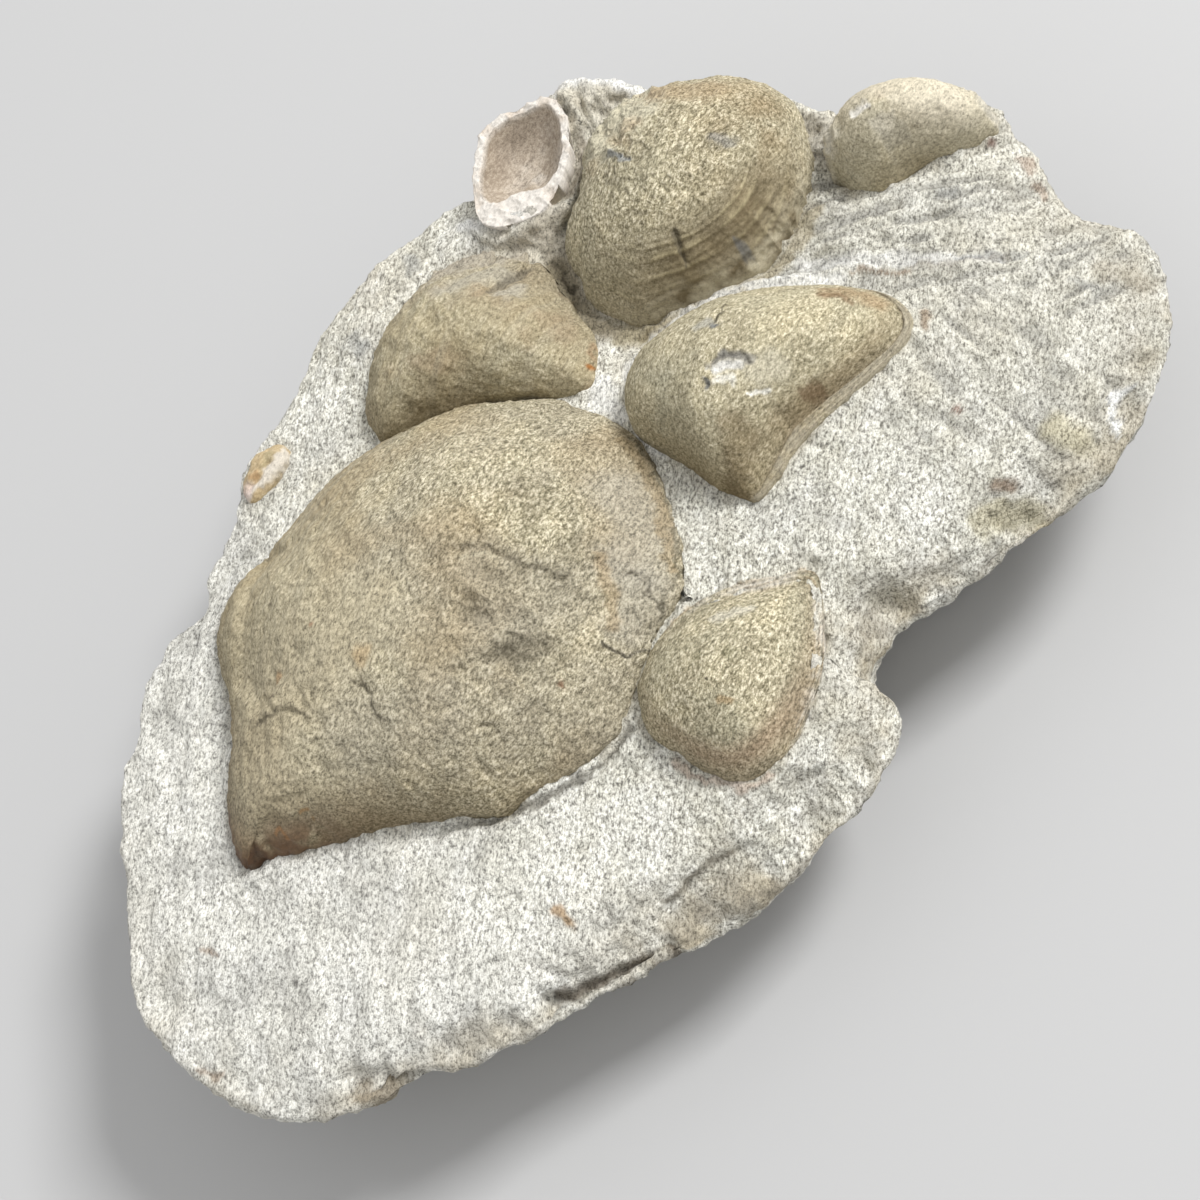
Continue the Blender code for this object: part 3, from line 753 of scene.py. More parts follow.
relief = (
    0.05 * rough(points, 2.2, 4, 311, True) * (1 - bevel)
    + 0.12 * rough(points, 5, 2, 341)
    + 0.05 * rough(points, 0.8, 3, 321) * (1 - bevel)
    + bevel * (0.15 + 0.55 * margin + 0.05 * np.sin(19 * margin))
    - 0.4 * bevel * held(1.6 * ledge - 0.7) * fade(margin - ledge + 0.08, 0.12)
    + worked(flat, RIGHT_RELIEF)
    - 0.1
)
paint = painted(
    points,
    ("#C9C2A6", 0.65 * cloud(points, 6, 351, 0.5) * held(margin / 3) * flank(degrees, 20, 110)),
    ("#A9A793", 0.5 * flank(degrees, 150, 60) * cloud(points, 4, 361)),
    # painted shade: darker and browner towards the lower left margin, the side turned from the light
    ("#7A6A48", 0.75 * np.exp(-margin / 1.7) * flank(degrees, 225, 60)),
    ("#8A7452", 0.6 * fade(margin - 1.4, 0.8) * flank(degrees, 300, 40)),
)
stain(paint, flat, RIGHT_STAINS)
lay_on(paint, "#B9B09A", 0.9 * bevel * cloud(points, 1.2, 373, 0.9))
lay_on(paint, "#7A705C", 0.5 * bevel * held(np.sin(19 * margin)))
lay_on(paint, "#5F4C34", 0.9 * bevel * fade(margin - ledge, 0.13) * cloud(points, 2, 371, 0.8))
right_shell = make_piece("right_shell_cast", points, faces, relief, stained_sandstone, paint, worn=0.25)
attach(right_shell, "root")
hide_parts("right_shell")

# The small shell by the slab's lower edge: a smooth cast, with painted shade making it browner at its lower
# left.
SMALL = {
    "edge": (
        (-4.6, -18.9), (-3.6, -15.9), (-1.6, -14.2), (1.0, -13.3), (3.8, -13.2), (6.6, -14.0),
        (9.6, -15.9), (12.0, -17.8), (11.6, -19.4), (9.8, -21.9), (7.6, -24.3), (4.8, -26.0), (2.3, -27.0),
        (0.0, -27.2), (-2.0, -26.4), (-3.4, -24.2), (-4.1, -21.4),
    ),
    "crown": (2.0, -20.5),
    "foot": 15.0,
    "rise": 5.6,
    "lip": 1.1,
    "sides": (
        (0, 2.0, 0.8), (40, 2.0, 0.9), (90, 2.0, 0.9), (140, 2.2, 0.75), (220, 2.4, 0.65),
        (270, 2.2, 0.7), (320, 2.1, 0.75),
    ),
    "ledge": ((0, 0.9), (30, 0.95), (60, 0.6), (85, 0.3), (110, 0.0), (262, 0.0), (290, 0.6), (330, 1.0)),
    "cells": 160,
}
SMALL_STAINS = (
    ("#B8925C", 0.4, ((1.1, -23.3), (0.8, -23.0)), 0.35),
    ("#7D7B5B", 0.45, (3.7, -20.7), 0.6),
    ("#7D7B5B", 0.4, (1.8, -19.0), 0.4),
    ("#4E4638", 0.8, (-1.0, -18.2), 0.16),
    ("#4E4638", 0.8, (1.2, -21.2), 0.16),
    ("#D9D4C4", 0.6, ((4.6, -17.0), (6.6, -18.2)), 0.5),
)
points, faces, margin, degrees = dome(SMALL)
flat = points[:, :2]
(ledge,) = around(degrees, SMALL["ledge"])
border = held(4 * ledge) * held((ledge + 0.05 - margin) / 0.2)
relief = (
    0.05 * rough(points, 2.0, 4, 411, True)
    + 0.10 * rough(points, 4, 2, 441)
    + 0.05 * rough(points, 0.8, 3, 421)
    + border * (0.1 + 0.05 * np.sin(16 * margin))
    - 0.2
)
paint = painted(
    points,
    ("#A9A48C", 0.5 * cloud(points, 4, 451, 0.4)),
    # painted shade: darker and browner towards the lower left margin
    ("#7C6E52", 0.5 * np.exp(-margin / 1.3) * flank(degrees, 215, 80)),
    ("#A5866A", 0.5 * fade(margin - 0.9, 0.7) * flank(degrees, 260, 90)),
)
stain(paint, flat, SMALL_STAINS)
lay_on(paint, "#DDD6C8", 0.9 * border * cloud(points, 1.6, 461, 0.9))
lay_on(paint, "#B49C7C", 0.5 * border * held(np.sin(16 * margin)) * cloud(points, 2, 463, 0.4))
small_shell = make_piece("small_shell_cast", points, faces, relief, stained_sandstone, paint)
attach(small_shell, "root")
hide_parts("small_shell")

# The shell on the slab's right rim: a cast like the others, smooth, with painted shade darkening its lower
# left side and a white chip on its crown.
RIM = {
    "edge": (
        (34.4, 7.8), (34.2, 6.2), (34.9, 4.2), (36.3, 3.0), (38.5, 2.6), (40.6, 2.0), (42.5, 1.1),
        (44.3, 0.5), (45.9, 0.8), (46.4, 2.2), (46.0, 4.0), (44.8, 5.8), (43.2, 7.6), (41.5, 9.0),
        (39.9, 9.9), (37.9, 10.3), (36.2, 9.9), (35.0, 9.0),
    ),
    "crown": (40.2, 5.4),
    "foot": 13.0,
    "rise": 8.1,
    "lip": 2.0,
    "sides": (
        (0, 2.7, 0.52), (40, 2.5, 0.52), (100, 2.4, 0.6), (160, 2.4, 0.6), (220, 2.1, 0.75),
        (270, 2.0, 0.8), (330, 2.3, 0.62),
    ),
    "cells": 150,
}
CROWN_CHIP = ((37.8, 6.7), (38.2, 6.5), (38.7, 6.3))
RIM_STAINS = (
    ("#F0ECE2", 0.9, CROWN_CHIP, 0.32),
    ("#8D8A80", 0.4, ((38.3, 3.8), (39.8, 3.4)), 0.5),
    ("#D3CCBB", 0.5, ((38.0, 4.6), (39.4, 4.2)), 0.5),
)
points, faces, margin, degrees = dome(RIM)
flat = points[:, :2]
crusted = held(1.6 - np.hypot(*(flat - (34.9, 8.8)).T) / 1.6)
ended = held((flat[:, 0] - 45.0) / 1.0)
relief = (
    (0.05 + 0.25 * crusted + 0.2 * ended) * rough(points, 2.0, 4, 511, True)
    + 0.10 * rough(points, 4, 2, 541)
    + 0.05 * rough(points, 0.8, 3, 521)
    + worked(flat, ((CROWN_CHIP, 0.3, -0.2),))
    - 0.25
)
pale = held(1.6 * np.maximum(crusted, ended) - 0.5 + 0.5 * rough(points, 1.4, 3, 561))
paint = painted(
    points,
    ("#C9B79F", 0.8 * flank(degrees, 75, 60) * held(margin / 2.5)),
    ("#B8B29D", 0.6 * flank(degrees, 200, 60) * held(margin / 2) * cloud(points, 3, 553, 0.6)),
    ("#C2BCA6", 0.6 * cloud(points, 4, 551, 0.5)),
    ("#E0D6BE", 0.75 * flank(degrees, 50, 100) * np.clip(margin / 1.2, 0.3, 1) * cloud(points, 5, 557, 0.9)),
    # painted shade: darker towards the lower margin
    ("#8A7A56", 0.6 * np.exp(-margin / 1.2) * flank(degrees, 245, 60)),
    # painted light: the lower right side paler, lifting the shade that falls there
    ("#E9DFC8", 0.8 * flank(degrees, 310, 65) * np.clip(margin / 1.6, 0.15, 1)),
    ("#D6D0C0", 0.9 * pale),
)
stain(paint, flat, RIM_STAINS)
rim_shell = make_piece("rim_shell_cast", points, faces, relief, stained_sandstone, paint, worn=0.3)
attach(rim_shell, "root")
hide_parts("rim_shell")

# The hollow shell: one valve broken open, which shows its smooth inside and the thin white edge of its wall.
# Chalky sand still lies in its bottom.


def mound(flat, middle, width):
    """1 at a place seen from above and less the further off: about a third at the width."""
    return np.exp(-(((flat - middle) / width) ** 2).sum(axis=1))


HOLLOW_EDGE = (
    (13.4, 27.7), (15.3, 30.0), (16.9, 31.6), (18.0, 32.1), (19.8, 31.9), (21.6, 31.1), (23.5, 30.0),
    (23.4, 27.8), (22.3, 25.8), (21.5, 24.6), (20.1, 23.4), (18.8, 22.6), (17.2, 21.9), (16.0, 21.9),
    (14.4, 22.6), (13.0, 23.7), (12.4, 25.3),
)
HOLLOW_MIDDLE = (18.4, 27.6)
HOLLOW_RIM = 17.8
HOLLOW_DEPTH = 2.7
HOLLOW_WALL = 0.65  # width of the rim, which is broken off wider on the slab's side
HOLLOW_WALL_MORE = 2.2
HOLLOW_FLOOR = 6.0  # how far the outside goes down
HOLLOW_FULL = 2.5  # the higher, the fuller the valve's curve
HOLLOW_SLOPE = 0.6  # the lower, the steeper the outside
HOLLOW_CELLS = 150
HOLLOW_SKIRT = 8  # rows down the outside, which the stone hides
VALVE_GRAINS = ((0.36, "#968A7C"), (0.5, "#ADA192"), (0.64, "#CAC0B2"))
VALVE_MOTTLE = ((0.3, "#D8D2CA"), (0.5, "#F0ECE6"), (0.7, "#FFFFFF"))
# chalky calcite, smooth from growth: faintly glossy, with hardly any grain
valve_inside = sandstone("chalky_valve", VALVE_GRAINS, VALVE_MOTTLE, 0.3, 0.02, 0.7)
share, way = disc_grid(HOLLOW_CELLS)
distance = dome_reach(HOLLOW_EDGE, HOLLOW_MIDDLE)
flat = placed(HOLLOW_MIDDLE, distance(share, way), way)
degrees = np.degrees(way) % 360
wall_width = HOLLOW_WALL + HOLLOW_WALL_MORE * flank(degrees, 232, 33)
wall = 1 - wall_width / distance(1, way)
deep = HOLLOW_DEPTH * held(1 - (share / wall) ** HOLLOW_FULL)
margin = (1 - share) * distance(1, way)
points = np.column_stack([flat, HOLLOW_RIM - deep])
squares, rim = grid_faces(HOLLOW_CELLS)
rows = [points]
faces = [*squares]
last = rim
for row in range(1, HOLLOW_SKIRT + 1):
    out = 1 - 0.5 * row / HOLLOW_SKIRT
    down = HOLLOW_FLOOR * (1 - out**HOLLOW_FULL) ** HOLLOW_SLOPE
    ring = placed(HOLLOW_MIDDLE, distance(out, way[rim]), way[rim])
    rows.append(np.column_stack([ring, np.full(len(rim), HOLLOW_RIM - down)]))
    this = len(points) + len(rim) * (row - 1) + np.arange(len(rim))
    faces += [*np.stack([last, np.roll(last, -1), np.roll(this, -1), this], axis=1)[:, ::-1]]
    last = this
faces.append(last[::-1])
points = np.concatenate(rows)
flat = points[:, :2]
skirt = np.zeros(len(points) - len(margin))
margin = np.concatenate([margin, skirt])
wall_width = np.concatenate([wall_width, skirt + HOLLOW_WALL])
on_wall = held((wall_width + 0.3 - margin) / 0.4)
bottom = held((margin - wall_width - 1.2) / 1.8)
relief = (
    0.14 * rough(points, 1.5, 4, 611, True) * on_wall
    + 0.05 * rough(points, 2.5, 3, 621)
    + 0.14 * rough(points, 0.9, 3, 641) * mound(flat, (17.0, 26.0), 1.6)
    - 0.05
)
toward = np.degrees(np.arctan2(*(flat - HOLLOW_MIDDLE).T[::-1])) % 360
paint = painted(
    points,
    ("#C6BBAC", 0.75 * bottom * cloud(points, 2.4, 631, 0.6)),
    ("#E4DDD2", 0.8 * cloud(points, 1.4, 651, -0.05) * bottom),
    ("#9C9081", 0.45 * flank(toward, 60, 80) * (1 - bottom) * cloud(points, 3, 653, 0.7)),
    ("#E4DDD3", 0.6 * flank(toward, 320, 35) * held(1.4 - (margin - wall_width) / 1.5)),
    ("#EDE7DE", 0.95 * on_wall),
    ("#C9B49C", 0.5 * on_wall * cloud(points, 1.2, 661, 0.1)),
)
hollow_shell = make_piece(
    "hollow_shell_valve", points, faces, relief, valve_inside, paint, worn=0.6 * on_wall
)
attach(hollow_shell, "root")
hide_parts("hollow_shell")

# The fragment on the upper left rim: a piece of a valve, weathered brown, set in the stone.
FRAGMENT = {
    "edge": (
        (-16.5, 22.3), (-15.6, 23.9), (-13.5, 25.1), (-11.7, 24.6), (-11.0, 23.1), (-12.5, 21.8),
        (-14.5, 21.3), (-16.2, 21.4),
    ),
    "crown": (-13.5, 23.0),
    "foot": 13.5,
    "rise": 2.9,
    "lip": 1.6,
    "sides": ((0, 2.4, 0.8), (180, 2.4, 0.7)),
    "cells": 80,
}
FRAGMENT_GRAINS = ((0.34, "#8F7C62"), (0.5, "#BBAA8C"), (0.66, "#E6DABF"))
FRAGMENT_STAINS = (
    ("#E9E2D6", 0.85, ((-16.4, 22.2), (-14.6, 21.9), (-12.7, 22.3), (-11.3, 23.2)), 0.45),
    ("#E3CFC4", 0.8, (-16.0, 22.6), 0.8),
    ("#B98B5A", 0.5, (-14.6, 23.0), 0.5),
    ("#A59C7A", 0.5, ((-13.3, 23.0), (-12.4, 23.6)), 0.5),
)
# calcite weathered brown: dull, with its broken edges pale
weathered_valve = sandstone("weathered_valve", FRAGMENT_GRAINS, SHELL_MOTTLE)
points, faces, margin, degrees = dome(FRAGMENT)
relief = (
    0.12 * rough(points, 1.8, 3, 711, True)
    + 0.05 * rough(points, 0.7, 2, 721)
    + worked(points[:, :2], ((((-15.4, 22.4), (-14.0, 22.5), (-12.8, 23.0)), 0.4, -0.35),))
    - 0.25
)
paint = painted(points)
stain(paint, points[:, :2], FRAGMENT_STAINS)
edge_fragment = make_piece("edge_fragment_valve", points, faces, relief, weathered_valve, paint, worn=0.5)
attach(edge_fragment, "root")
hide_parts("edge_fragment")

# The slab itself: pale fine sandstone, broken round its sides and below. Its top was cleared round the shells
# with a scribe, which left short furrows on the right, and its rim is chipped.
STONE_TOP = 16.0
STONE_EDGE = (
    (47.2, 2.5), (46.8, 0.8), (46.7, -2.2), (45.6, -4.8), (45.1, -7.2), (45.6, -10.0), (46.9, -12.7),
    (46.6, -15.6), (44.5, -19.2), (41.6, -22.2), (38.2, -24.3), (33.8, -25.8), (29.3, -26.3), (23.5, -25.9),
    (18.3, -25.4), (14.8, -24.6), (12.0, -24.8), (9.9, -26.0), (10.1, -28.3), (8.6, -30.0), (5.9, -31.3),
    (3.0, -32.1), (-6.0, -32.5), (-14.0, -31.4), (-19.0, -30.3), (-27.0, -28.5), (-30.0, -27.6),
    (-32.7, -25.7), (-35.8, -25.2), (-39.0, -24.1), (-41.5, -22.4), (-43.6, -20.0), (-45.3, -17.0),
    (-46.4, -13.0), (-46.9, -8.5), (-46.4, -5.0), (-45.1, -2.6), (-42.3, 2.8), (-40.9, 5.8), (-37.6, 10.3),
    (-35.2, 12.0), (-33.0, 15.0), (-30.3, 16.5), (-28.2, 17.4), (-24.8, 17.4), (-22.8, 19.8), (-18.8, 22.0),
    (-16.3, 24.3), (-14.5, 25.9), (-9.3, 27.4), (-5.4, 29.4), (-1.7, 31.7), (5.2, 32.8), (11.5, 32.2),
    (15.0, 31.2), (18.7, 32.0), (23.3, 32.0), (27.0, 30.0), (30.0, 26.8), (33.0, 22.5), (36.3, 17.4),
    (38.4, 12.8), (41.0, 10.0), (44.0, 7.0),
)
STONE_SWELLS = (
    # middle, width, height
    ((26.0, 27.6), 5.0, 3.2), ((36.2, 12.0), 2.6, 2.6), ((14.5, 22.0), 4.5, 2.0), ((14.0, 14.0), 2.5, 1.0),
    ((24.5, 31.0), 2.5, 1.2),
)
STONE_CELLS = 350
LUMP_WIDTH = 11.0
LUMP_HEIGHT = 0.5
STONE_DROP = 1.6  # the rim lies this much lower, and more at the right
STONE_DROP_MORE = 1.0
STONE_ROUND = 4.0  # and this far in
SHOULDER_DROP = 2.8  # the rim by the small shell falls away further
STONE_CORNER = 0.9  # radius of the rim
LEVEL_WIDTH = 1.6  # the stone comes up or down to a shell's lip over this width
LEVEL_SHARE = 0.85
BURIED = 0.9  # the stone's top is left out this far in from a shell's margin
# the sides and the flat underside: share of the way down, and how far in the side has gone there
SIDE_DOWN = (0.0, 0.06, 0.18, 0.42, 0.66, 0.86, 1.0)
SIDE_IN = (0.0, 0.3, 1.9, 4.6, 7.2, 9.6, 12.0)
SIDE_LUMP_WIDTH = 9.0
SIDE_LUMP_HEIGHT = 1.6
SIDE_ROWS = 26
UNDER_ROWS = 6
LAYERED_RIDGE = ((2.0, -13.0), (5.2, -13.4), (7.5, -14.6), (9.6, -16.0), (11.4, -17.4))
WHITE_EDGE = ((34.6, -24.4), (35.2, -23.8), (36.2, -23.0), (37.0, -22.7), (37.9, -22.7))
SCRIBE_END = ((36.0, -6.0), (37.2, -7.4), (38.0, -8.8))
RIGHT_FURROW = ((37.9, -7.8), (38.5, -9.0), (39.5, -9.4))
STONE_RELIEF = (
    # the raised stone round the small shell, in fine layers
    (LAYERED_RIDGE, 0.2, 0.25),
    (((4.5, -14.0), (6.3, -14.7), (8.6, -15.9)), 0.18, 0.3),
    (((9.9, -16.6), (11.0, -17.6)), 0.5, -0.2),
    (((11.2, -18.2), (10.6, -19.8), (8.9, -21.9)), 0.5, 0.25),
    # the crack from the large shell to the small one
    (((-2.4, -13.7), (-1.4, -13.6), (0.5, -13.8), (3.3, -13.6)), 0.15, -0.3),
    # the recess under the large shell's lower right margin
    (((-20.5, -12.9), (-17.0, -15.0), (-15.3, -16.2), (-13.1, -17.0), (-10.2, -17.9), (-7.8, -17.9),
              (-5.3, -17.2)), 0.35, -0.6),
    # the rim's chips, scoop and notch
    ((18.0, -24.9), 1.6, -0.8),
    ((14.6, -23.6), 1.4, -0.9),
    ((22.4, -25.4), 1.3, -0.6),
    ((-10.5, -30.6), 2.0, -0.9),
    (((-13.5, -30.4), (-18.0, -29.0), (-22.0, -28.2)), 0.9, -0.6),
    (((-22.0, -27.9), (-20.0, -28.7), (-17.6, -29.4), (-15.4, -30.1), (-13.6, -30.8)), 0.5, -1.1, 2.2),
    (((-34.6, -24.9), (-33.6, -26.0)), 1.0, -1.0),
    ((0.2, -30.2), 0.7, -0.5),
    ((40.3, -22.1), 0.6, -0.4),
    (((37.2, -1.1), (37.3, -2.7)), 0.35, -0.35),
    (RIGHT_FURROW, 0.4, -0.25),
    (((36.4, -20.9), (38.1, -21.1), (39.6, -21.6)), 0.3, -0.25),
    # the broken lip and the cracks below the hollow shell, and the crust by the ribbed one
    (((11.9, 27.5), (11.9, 25.0), (12.6, 23.3), (14.2, 21.9), (16.0, 21.2), (17.4, 21.3)), 0.5, 0.5),
    (((19.6, 22.2), (21.6, 23.4), (22.9, 25.0), (24.0, 27.0), (24.3, 29.4)), 0.5, 0.7),
    (((19.4, 22.3), (20.8, 23.5), (22.2, 24.8)), 0.55, 0.9),
    (((17.4, 20.9), (16.2, 20.2), (14.8, 19.6)), 0.3, -0.4),
    (((17.4, 21.45), (18.5, 21.95)), 0.5, 1.3),
    (((23.2, 24.9), (24.6, 26.6), (25.2, 28.6)), 0.25, -0.5),
    (((24.2, 25.6), (25.4, 27.2)), 0.3, 0.3),
    (((25.2, 30.0), (26.6, 28.8), (28.1, 27.0)), 0.7, 0.4),
    # the dark crack between the upper left shell and the ribbed one
    (((14.1, 19.5), (14.2, 17.0), (13.8, 14.5)), 0.3, -0.4),
    # the crust along the ribbed shell's lower margin
    (((13.2, 12.6), (14.0, 9.6), (16.6, 7.2), (20.6, 5.4), (24.0, 4.3)), 0.45, 0.3),
    # the white edge of a shell
    (WHITE_EDGE, 0.22, 0.16),
    (SCRIBE_END, 0.25, -0.3),
    (((28.6, 1.2), (31.0, -1.4), (33.4, -3.9)), 0.25, -0.2),
    # the crevices behind the lower rim
    (((-12.4, -28.9), (-8.2, -28.6), (-4.6, -29.2)), 0.4, -0.6, 1.8),
    (((-1.6, -29.6), (2.6, -29.0)), 0.4, -0.5),
    ((-17.4, -24.8), 0.6, 0.25),
    (((-36.3, -22.3), (-34.6, -23.3), (-33.3, -25.1), (-31.1, -27.8)), 0.4, -0.6, 2.0),
)
STONE_STAINS = (
    ("#FFFFFC", 0.9, WHITE_EDGE, 0.3),
    ("#FBFAF6", 0.6, ((27.7, 2.9), (29.8, 0.6), (32.0, -1.7), (35.0, -4.9), (38.0, -8.6)), 0.45),
    ("#7F8386", 0.6, SCRIBE_END, 0.2),
    ("#A9A59C", 0.5, ((30.5, -1.4), (33.0, -4.2), (35.6, -6.9)), 0.25),
    ("#9B9890", 0.35, ((34.2, -23.4), (35.4, -22.4), (37.0, -21.9)), 0.25),
    # painted shade in the crevices behind the lower rim
    ("#6E6455", 0.85, ((-21.6, -28.5), (-20.0, -29.1), (-17.6, -29.8), (-15.4, -30.5), (-13.6, -31.2)), 0.5),
    ("#8F8674", 0.6, ((-11.4, -28.9), (-8.2, -28.8), (-5.6, -29.2)), 0.3),
    ("#A99D7E", 0.85, ((14.2, 18.2), (13.5, 15.5), (13.4, 12.0), (14.2, 9.4), (16.4, 7.4), (20.6, 5.6)),
     1.0),
    ("#B5AA8E", 0.75, ((20.6, 5.6), (24.0, 4.4), (27.5, 4.2), (31.5, 5.9)), 0.7),
    ("#8F8366", 0.6, ((15.2, 8.2), (18.4, 6.5), (22.0, 5.0)), 0.3),
    ("#B08E62", 0.8, ((-17.5, -23.9), (-17.3, -25.6)), 0.5),
    ("#C9B494", 0.6, LAYERED_RIDGE, 0.15),
    ("#F6F2E8", 0.7, ((4.5, -14.4), (6.6, -15.2), (8.9, -16.6), (10.6, -18.2)), 0.4),
    ("#F4F1E8", 0.6, ((10.6, -19.2), (8.9, -21.4), (7.3, -23.3), (5.6, -24.9), (3.9, -26.1)), 0.5),
    ("#C9AE9A", 0.5, ((-4.6, -21.6), (-3.6, -24.6), (-2.2, -26.8), (0.0, -27.7)), 0.35),
    # painted shadow in the recess under the large shell's lower right margin
    ("#8F8B80", 0.8, ((-17.0, -15.0), (-13.1, -17.0), (-7.8, -17.9), (-5.3, -17.2)), 0.3),
    ("#F8F7F2", 0.7, ((12.6, 6.2), (15.6, 6.9), (19.0, 6.6), (22.4, 5.4), (25.7, 2.9), (28.9, -0.6)), 0.6),
    ("#F8F7F2", 0.8, ((9.9, 3.4), (9.6, 6.0), (10.6, 6.6)), 0.9),
    ("#3E3A36", 0.9, (-35.5, -14.3), 0.25),
    ("#8B6A48", 0.6, ((-39.9, -6.8), (-39.2, -8.0)), 0.25),
    ("#8B6A48", 0.5, ((-45.3, -13.9), (-44.3, -15.4)), 0.3),
    ("#9A9B99", 0.5, ((-1.6, 26.9), (-1.5, 25.3)), 0.8),
    ("#9A9B99", 0.5, ((6.6, 30.0), (6.0, 28.2)), 0.8),
    ("#9A9B99", 0.5, RIGHT_FURROW, 0.4),
    ("#9A9B99", 0.45, (36.5, -6.7), 0.5),
    ("#A79C86", 0.5, ((42.8, -14.3), (44.3, -17.4)), 1.0),
    ("#93714C", 0.5, ((29.9, -0.8), (31.4, -2.5), (32.6, -4.0)), 0.25),
    ("#93714C", 0.6, ((31.3, -7.9), (30.6, -8.7)), 0.4),
    ("#8A4A30", 0.7, (27.7, -15.8), 0.3),
    ("#7A5A3A", 0.7, ((25.5, -22.2), (26.4, -23.0)), 0.5),
    ("#C9BE94", 0.5, ((31.3, -22.1), (32.1, -23.6)), 1.2),
    ("#C9BE94", 0.5, ((23.3, -23.4), (25.9, -25.1)), 1.0),
    ("#6B4A3C", 0.85, (44.5, 0.1), 0.5),
    ("#B59C88", 0.6, ((45.5, -2.2), (45.1, -3.4)), 0.35),
    ("#A58A72", 0.55, ((44.8, -4.3), (44.4, -5.6)), 0.3),
    ("#F6F5F1", 0.8, ((24.6, 31.0), (26.4, 29.6), (28.5, 26.9), (30.3, 24.3)), 0.9),
    ("#F6F5F1", 0.8, ((11.5, 28.5), (12.0, 26.5), (13.2, 24.4), (15.1, 22.9), (16.8, 22.3)), 0.7),
    ("#F0EFEA", 0.7, ((9.9, -2.0), (10.0, 1.0)), 0.4),
    ("#8D8472", 0.6, ((16.0, 22.4), (15.3, 20.0), (14.2, 17.0), (13.8, 13.5), (13.4, 10.5)), 1.2),
    ("#5C5547", 0.8, ((14.4, 18.9), (14.3, 17.4), (13.9, 15.6)), 0.22),
    ("#CFC7B6", 0.7, ((13.2, 21.6), (15.4, 20.8), (17.2, 21.8)), 0.8),
    ("#9A8E7C", 0.6, ((19.4, 22.6), (21.4, 23.9), (22.8, 25.4)), 0.6),
    ("#8C877D", 0.5, ((36.0, 13.4), (36.9, 11.6), (35.6, 9.8)), 1.1),
    ("#E6E0D0", 0.6, ((37.6, 11.0), (36.6, 9.2), (35.0, 7.2)), 0.7),
    ("#9A9B99", 0.45, ((38.8, -0.6), (39.6, -1.4)), 0.6),
    ("#9A9B99", 0.45, ((40.5, -14.0), (41.2, -16.0)), 0.4),
    ("#A39B8C", 0.5, ((33.0, -3.4), (36.0, -6.6), (38.6, -9.0)), 0.25),
    # brown along the crevice at the lower left rim, darkened by painted shade
    ("#8A7A60", 0.7, ((-36.8, -24.0), (-34.2, -26.4), (-31.8, -27.6)), 0.8),
)
FURROW_WIDTH = 0.65
FURROW_LENGTH = 3.6
STONE_CRUSTS = (
    # middle, width, how thick
    ((24.0, 28.5), 5.0, 1.0), ((14.5, 20.5), 4.0, 1.0), ((17.5, 6.5), (5.5, 2.2), 0.8),
    ((36.2, 11.5), 2.8, 1.0), ((3.0, 29.0), 5.0, 0.6),
)
STONE_GRAINS = ((0.375, "#6B6964"), (0.445, "#B1AFA6"), (0.515, "#DCDAD1"), (0.59, "#FFFFF9"))
STONE_MOTTLE = ((0.3, "#DCDAD2"), (0.5, "#F6F5F1"), (0.7, "#FFFFFF"))
# sandstone broken and scribed: rough and pale, with each grain lit or shaded on its own
fine_sandstone = sandstone("fine_sandstone", STONE_GRAINS, STONE_MOTTLE, 0.25, 0.15, turn=50)

reach = reach_of(STONE_EDGE, (0, 0))
share, way = disc_grid(STONE_CELLS, 0.12)
far = reach(way)
flat = placed((0, 0), share * far, way)
inside = (1 - share) * far
shoulder = flank(np.degrees(way), 258, 42)
drop = STONE_DROP + STONE_DROP_MORE * np.cos(way) + SHOULDER_DROP * shoulder
lumps = LUMP_HEIGHT * value_noise(np.column_stack([flat, np.zeros(len(flat))]), LUMP_WIDTH, 3)
high = STONE_TOP - drop * fade(inside, STONE_ROUND) + lumps * (1 - np.exp(-inside / STONE_ROUND))
for middle, width, rise in STONE_SWELLS:
    high += rise * mound(flat, middle, width)
corner = STONE_CORNER * (1 + 0.6 * rough(np.column_stack([flat, high]), 5, 2, 841))
high -= corner - np.sqrt(np.maximum(corner**2 - np.maximum(corner - inside, 0) ** 2, 0))

squares, rim = grid_faces(STONE_CELLS)
gap = np.full(len(flat), 1e9)
hollow = {"edge": HOLLOW_EDGE, "crown": HOLLOW_MIDDLE}
for shell in (LARGE, UPPER_LEFT, RIBBED, RIGHT, SMALL, RIM, FRAGMENT, hollow):
    off = flat - shell["crown"]
    toward = np.arctan2(off[:, 1], off[:, 0])
    from_shell = np.hypot(*off.T) - reach_of(shell["edge"], shell["crown"])(toward)
    gap = np.minimum(gap, from_shell)
    if "lip" in shell:
        level = shell["foot"] + shell["lip"] + 0.02
        level = level + 0.13 * rough(np.column_stack([flat, high]), 1.3, 3, 801)
        high += (level - high) * fade(np.maximum(from_shell, 0), LEVEL_WIDTH) * LEVEL_SHARE
shown = (gap[squares] > -BURIED).any(axis=1)
top = np.column_stack([flat, high])

